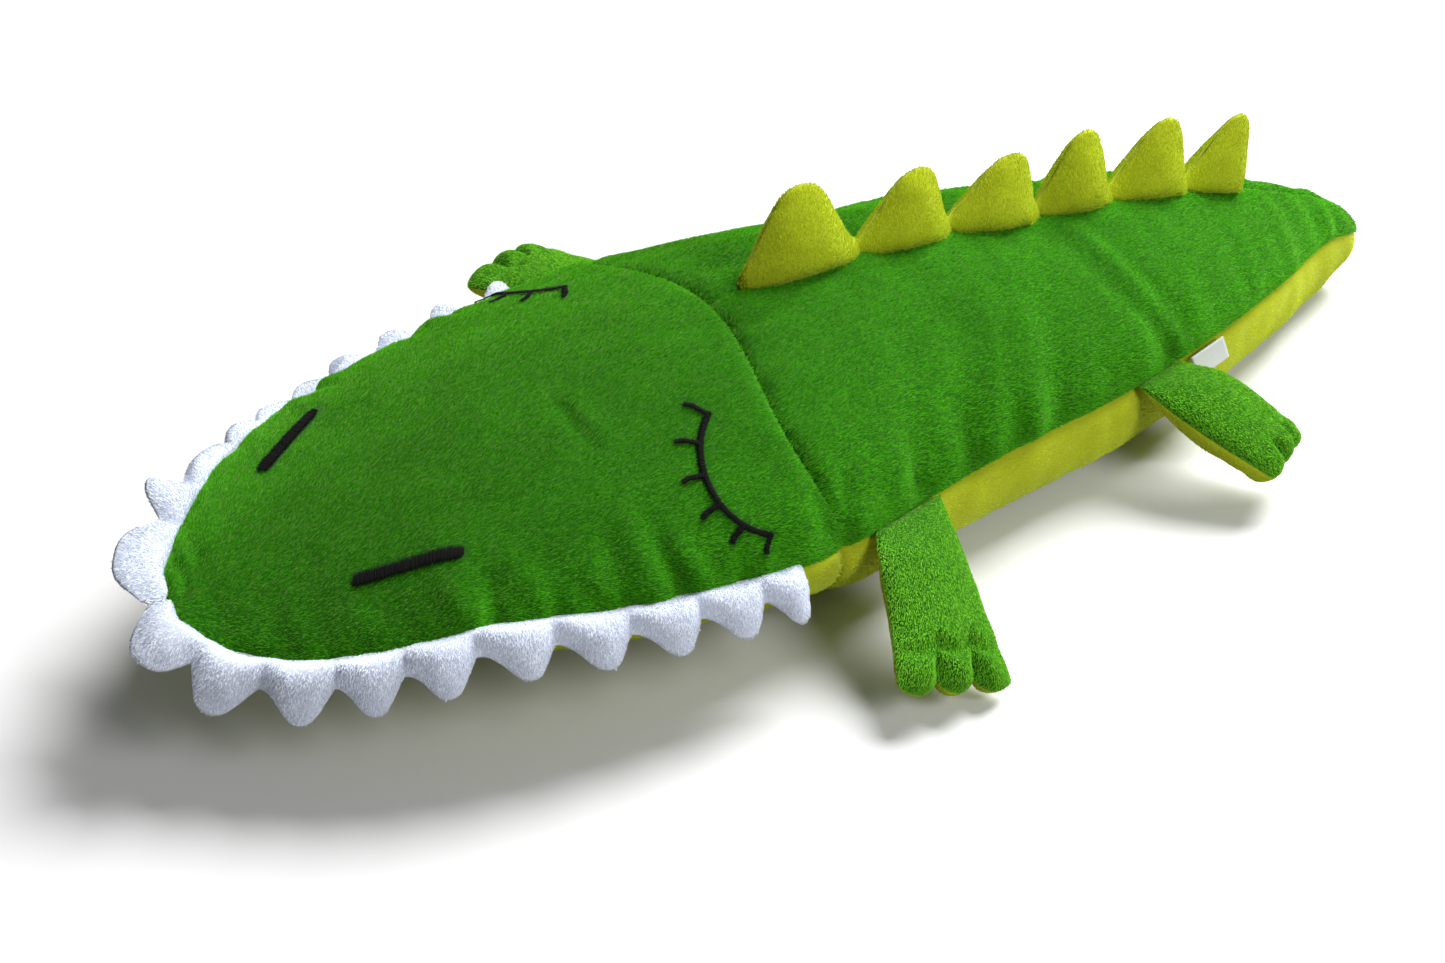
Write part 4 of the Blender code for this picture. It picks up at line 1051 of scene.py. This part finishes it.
def pile_tree():
    """Three-sided tufts, scattered over cloth, each leaning the way the cloth is combed."""
    usual = (("Density", 1e6), ("Length", 0.003), ("Radius", 0.0005), ("Lean", 1.0), ("Uneven", 0.3),
             ("Relief", 0.5))
    tree, given, made = group_tree("plush_pile", "GeometryNodeTree", [
        ("Geometry", "NodeSocketGeometry"), *((name, "NodeSocketFloat", value) for name, value in usual),
        ("Seed", "NodeSocketInt", 1), ("Material", "NodeSocketMaterial")],
        [("Geometry", "NodeSocketGeometry")])
    seed, length = given.outputs["Seed"], given.outputs["Length"]
    rich = reckon(tree, "MULTIPLY", named(tree, "cover"), given.outputs["Density"])
    roots = add(tree, "GeometryNodeDistributePointsOnFaces", Mesh=given.outputs["Geometry"],
                Density=rich, Seed=seed)
    stray = add(tree, "FunctionNodeRandomValue", {0: (-1, -1, -1), 1: (1, 1, 1), "Seed": seed},
                {"data_type": "FLOAT_VECTOR"}).outputs["Value"]
    leaning = vector(tree, "SCALE", named(tree, "comb", "FLOAT_VECTOR"), given.outputs["Lean"])
    loose = vector(tree, "SCALE", stray, given.outputs["Uneven"])
    way = vector(tree, "ADD", vector(tree, "ADD", roots.outputs["Normal"], leaning), loose)
    tuft = add(tree, "GeometryNodeMeshCone", {
        "Vertices": 3, "Radius Top": 0.0, "Radius Bottom": given.outputs["Radius"], "Depth": length},
        {"fill_type": "NONE"})
    place = add(tree, "GeometryNodeInputPosition").outputs["Position"]
    parts = add(tree, "ShaderNodeSeparateXYZ", Vector=place)
    height = reckon(tree, "DIVIDE", parts.outputs["Z"], length)
    flat = add(tree, "ShaderNodeCombineXYZ", X=parts.outputs["X"], Y=parts.outputs["Y"])
    tipped = stored(tree, "tip", tuft.outputs["Mesh"], height)
    spread = stored(tree, "spread", tipped, flat.outputs["Vector"], "FLOAT_VECTOR")
    sizes = add(tree, "FunctionNodeRandomValue", {2: 0.7, 3: 1.25, "Seed": seed})
    tufts = copies(tree, roots.outputs["Points"], spread, way, stray, sizes.outputs[1])
    layout = vector(tree, "ADD", named(tree, "root_place", "FLOAT_VECTOR"),
                    named(tree, "spread", "FLOAT_VECTOR"))
    own_way = add(tree, "GeometryNodeInputNormal").outputs["Normal"]
    shown_way = vector(tree, "ADD", named(tree, "cloth_normal", "FLOAT_VECTOR"),
                       vector(tree, "SCALE", own_way, given.outputs["Relief"]))
    soft = add(tree, "GeometryNodeSetMeshNormal", {"Mesh": tufts, "Custom Normal": shown_way},
               {"mode": "FREE", "domain": "POINT"})
    coloured(tree, stored(tree, "OFBake", soft.outputs["Mesh"], layout, "FLOAT2", "CORNER"), given, made)
    return tree


def pile_material(name, root, tip, sheen, sheen_tint, contrast):
    """Fibres are darker at the root, where little light reaches, and paler at the tip."""
    material, tree, shader = principled(name, 0.85, sheen, sheen_tint, 0.05)
    shader.inputs["Sheen Roughness"].default_value = 0.3
    height = add(tree, "ShaderNodeAttribute", settings={"attribute_name": "tip"})
    along = mixed(tree, "MIX", height.outputs["Fac"], (*root, 1), (*tip, 1))
    shade = add(tree, "ShaderNodeGroup", {
        "Colour": along, "Contrast": contrast, "Patches": 0.4, "Strand": 420.0}, {"node_tree": PLUSH_SHADE})
    tree.links.new(shade.outputs["Colour"], shader.inputs["Base Color"])
    return material


fibres = {
    "green_plush": pile_material("green_pile", (0.014, 0.140, 0.0005), (0.060, 0.330, 0.003), 1.0,
                                 (0.80, 1.0, 0.30, 1), 0.7),
    "yellow_plush": pile_material("yellow_pile", (0.42, 0.49, 0.006), (0.56, 0.67, 0.04), 0.5,
                                  (0.9, 1.0, 0.4, 1), 0.35),
    "white_plush": pile_material("white_pile", (0.76, 0.81, 0.92), (0.84, 0.89, 1.00), 0.3,
                                 (1, 1, 1, 1), 0.1),
}
# The legs' green pile is a lighter copy of the body's green pile: painted light, for legs that stand lit
# brighter than the body.
painted_light_leg_pile = pile_material("green_leg_pile", (0.110, 0.370, 0.012), (0.160, 0.500, 0.024), 0.8,
                          (0.8, 1.0, 0.3, 1), 0.35)
tufting = pile_tree()


def cloth_patch(points, comb, cover, normals):
    """The outer side of a panel, with the way that its pile is combed and how much stands on it."""
    rows, columns = points.shape[:2]
    mesh = bpy.data.meshes.new("patch")
    mesh.from_pydata(points.reshape(-1, 3).tolist(), [], grid_quads(rows, columns, 0).tolist())
    face = mesh.polygons[len(mesh.polygons) // 2]
    corner = face.vertices[0]
    if face.normal.dot(Vector(normals[corner // columns, corner % columns])) < 0:
        mesh.flip_normals()
    across, down = np.meshgrid(np.linspace(0.02, 0.98, columns), np.linspace(0.02, 0.98, rows))
    flat = np.stack((across, down, 0 * across), axis=-1)
    carry(mesh, {"comb": comb, "cloth_normal": normals, "cover": cover, "root_place": flat})
    return mesh


def area_of(points):
    sides = np.cross(np.diff(points, axis=0)[:, :-1], np.diff(points, axis=1)[:-1])
    return np.linalg.norm(sides, axis=-1).sum()


def under_threads(points, cover):
    """Takes the pile away under the embroidery."""
    for places, half in stitched_places:
        for place, reach in zip(places[::3], half[::3]):
            near = np.linalg.norm(points - place, axis=-1) < reach + CLEAR_OF_THREAD
            cover = np.where(near, 0.0, cover)
    return cover


for number, (piece, outer, comb_axis, cover) in enumerate(panels):
    slot = piece["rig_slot"]
    density, length, radius, relief = PILE[slot]
    if "leg_" in piece.name:
        density, length, radius, relief = (usual * less for usual, less in zip(PILE[slot], LEG_PILE))
    if "sole" in piece.name:
        density = SOLE_DENSITY
    normals = outward(outer)
    comb = np.gradient(outer, axis=comb_axis)
    comb /= np.maximum(np.linalg.norm(comb, axis=-1, keepdims=True), 1e-12)
    if piece is head_top:
        cover = under_threads(outer, cover)
    if piece.name in ("jaw", "belly"):
        density = UNDER_DENSITY
    # The upper sides of the legs take the lighter copy of the green pile, which is painted light.
    look = painted_light_leg_pile if "leg_" in piece.name and slot == "green_plush" else fibres[slot]
    tufts = area_of(outer) * density / MM ** 2
    parts = math.ceil(tufts / MOST_TUFTS)
    last = outer.shape[1] - 1
    for part in range(parts):
        block = slice(round(part * last / parts), round((part + 1) * last / parts) + 1)
        base = cloth_patch(outer[:, block], comb[:, block], cover[:, block], normals[:, block])
        pile = grown(f"{piece.name}_pile_{part + 1}", base, tufting, {
            "Density": density / MM ** 2, "Length": length, "Radius": radius, "Lean": LEAN,
            "Uneven": UNEVEN, "Relief": relief, "Seed": 10 * number + part, "Material": look}, smooth=False)
        pile.visible_shadow = False
        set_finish(pile, slot)
        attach(pile, body_of(piece)[0])

# Label. A short tab of white woven tape, folded double and caught by its ends in the left side seam
# behind the rear leg. It is bare.
LABEL_SHARE = 0.760
LABEL_WIDTH = 32 * MM
LABEL_DROP = 13 * MM
LABEL_DROOP = math.radians(62)
LABEL_HALF_GAP = 0.55 * MM
TAPE = 0.35 * MM
LABEL_BOW = 0.9 * MM


def tape():
    material, tree, shader = principled("white_woven_tape", 0.6, 0.1, specular=0.4)
    place = add(tree, "ShaderNodeUVMap")
    place.uv_map = "OFBake"
    weave = add(tree, "ShaderNodeTexBrick", {
        "Color1": (0.40, 0.43, 0.41, 1), "Color2": (0.46, 0.49, 0.47, 1), "Mortar": (0.30, 0.32, 0.31, 1),
        "Scale": 60.0, "Mortar Size": 0.015}, Vector=place.outputs["UV"])
    tree.links.new(weave.outputs["Color"], shader.inputs["Base Color"])
    bumped(tree, shader, weave.outputs["Fac"], -0.3, 0.1 * MM)
    return material


hinge, along, out, normal = seam_frame(LABEL_SHARE, LABEL_WIDTH, LABEL_DROOP, 1)
turn = np.linspace(-math.pi / 2, math.pi / 2, 9)
fold = [(LABEL_DROP - LABEL_HALF_GAP + LABEL_HALF_GAP * math.cos(t), LABEL_HALF_GAP * math.sin(t))
        for t in turn]
down = np.linspace(0.3 * MM, LABEL_DROP - LABEL_HALF_GAP, 10)[:-1]
loop = [(d, -LABEL_HALF_GAP) for d in down] + fold + [(d, LABEL_HALF_GAP) for d in down[::-1]]
loop = np.array(loop)
wide = np.linspace(-0.5, 0.5, 17) * LABEL_WIDTH
curl = LABEL_BOW * np.cos(wide / LABEL_WIDTH * math.pi)
bow = (curl[None, :] * (loop[:, 0] / LABEL_DROP)[:, None] ** 2)[..., None]
points = (hinge + loop[:, None, :1] * out + wide[None, :, None] * along
          + (loop[:, None, 1:] + bow) * normal)
inside = outward(points)
label = ply("label_tape", points, points - inside * TAPE, tape())
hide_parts("sewn_label")
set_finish(label, "label_cloth")
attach(label, "label_tab")

# Floor, light and camera, which are not part of the toy. A pale floor, soft light from above and behind,
# a weaker one from the right and pale surroundings, and the camera where the photograph was taken.
PICTURE_WIDTH = 1445
FOCAL_PIXELS = 2914.60221
TURN, RAISE, ROLL = 0.990701673, 0.631676602, 0.0120696317
DISTANCE = 1.46717797
TARGET = Vector((0.105555632, -0.137625021, 0.110878655))
SENSOR = 36.0
ROOM_LIGHT = 0.12
FLOOR_LIT = (0.55, 0.55, 0.55, 1)
FLOOR_SEEN = (0.88, 0.88, 0.88, 1)
GLOW_FROM, GLOW_FULL = 0.9, 2.2
FLOOR_REACH = 6.0
FLOOR_HEIGHT = -0.0006


def seen(tree):
    """1 for a ray from the camera, straight or by way of something glossy or clear."""
    path = add(tree, "ShaderNodeLightPath")
    ray = path.outputs["Is Camera Ray"]
    for kind in ("Is Glossy Ray", "Is Transmission Ray"):
        ray = reckon(tree, "MAXIMUM", ray, path.outputs[kind])
    return ray


def backdrop():
    """Pale where it is seen, darker to the light that bounces off it, and white beyond the shadow."""
    material, tree, shader = principled("pale_floor", 0.9, specular=0.0)
    shade = mixed(tree, "MIX", seen(tree), FLOOR_LIT, FLOOR_SEEN)
    tree.links.new(shade, shader.inputs["Base Color"])
    place = add(tree, "ShaderNodeTexCoord").outputs["Object"]
    away = add(tree, "ShaderNodeVectorMath", {0: place}, {"operation": "LENGTH"}).outputs["Value"]
    far = add(tree, "ShaderNodeMapRange", {"From Min": GLOW_FROM, "From Max": GLOW_FULL}, Value=away)
    glow = reckon(tree, "MULTIPLY", far.outputs[0], seen(tree))
    shader.inputs["Emission Color"].default_value = (1.0, 1.0, 1.0, 1)
    tree.links.new(glow, shader.inputs["Emission Strength"])
    return material


floor_mesh = bpy.data.meshes.new("floor")
corners = [(x * FLOOR_REACH, y * FLOOR_REACH, FLOOR_HEIGHT)
           for x, y in ((-1, -1), (1, -1), (1, 1), (-1, 1))]
floor_mesh.from_pydata(corners, [], [(0, 1, 2, 3)])
floor = finished("floor", floor_mesh, backdrop())

world = bpy.data.worlds.new("pale_room")
bpy.context.scene.world = world
world.use_nodes = True
ground = world.node_tree.nodes["Background"]
ground.inputs["Color"].default_value = (1.0, 1.0, 1.0, 1)
room = reckon(world.node_tree, "MULTIPLY_ADD", seen(world.node_tree), 1 - ROOM_LIGHT, ROOM_LIGHT)
world.node_tree.links.new(room, ground.inputs["Strength"])


def lamp(name, place, aim, size, power):
    light = bpy.data.lights.new(name, "AREA")
    light.shape, light.size, light.energy = "DISK", size, power
    shining = placed(name, light)
    shining.location = place
    shining.rotation_mode = "QUATERNION"
    shining.rotation_quaternion = (Vector(aim) - Vector(place)).to_track_quat("-Z", "Y")


lamp("light_above", (-0.6, 1.7, 2.0), (0.0, 0.0, 0.0), 1.8, 148.0)
lamp("light_right", (1.9, 0.7, 1.5), (0.0, 0.0, 0.05), 1.2, 27.0)

camera = placed("camera", bpy.data.cameras.new("camera"))
bpy.context.scene.camera = camera
camera.data.sensor_width = SENSOR
camera.data.lens = FOCAL_PIXELS * SENSOR / PICTURE_WIDTH
camera.data.clip_start, camera.data.clip_end = 0.05, 30.0
back = Vector((math.sin(TURN) * math.cos(RAISE), -math.cos(TURN) * math.cos(RAISE), math.sin(RAISE)))
right = Vector((math.cos(TURN), math.sin(TURN), 0.0))
up = back.cross(right)
level = math.cos(ROLL) * right + math.sin(ROLL) * up
upright = math.cos(ROLL) * up - math.sin(ROLL) * right
camera.rotation_mode = "QUATERNION"
camera.rotation_quaternion = Matrix((level, upright, back)).transposed().to_quaternion()
camera.location = TARGET + DISTANCE * back
bpy.context.scene.view_settings.view_transform = "Standard"
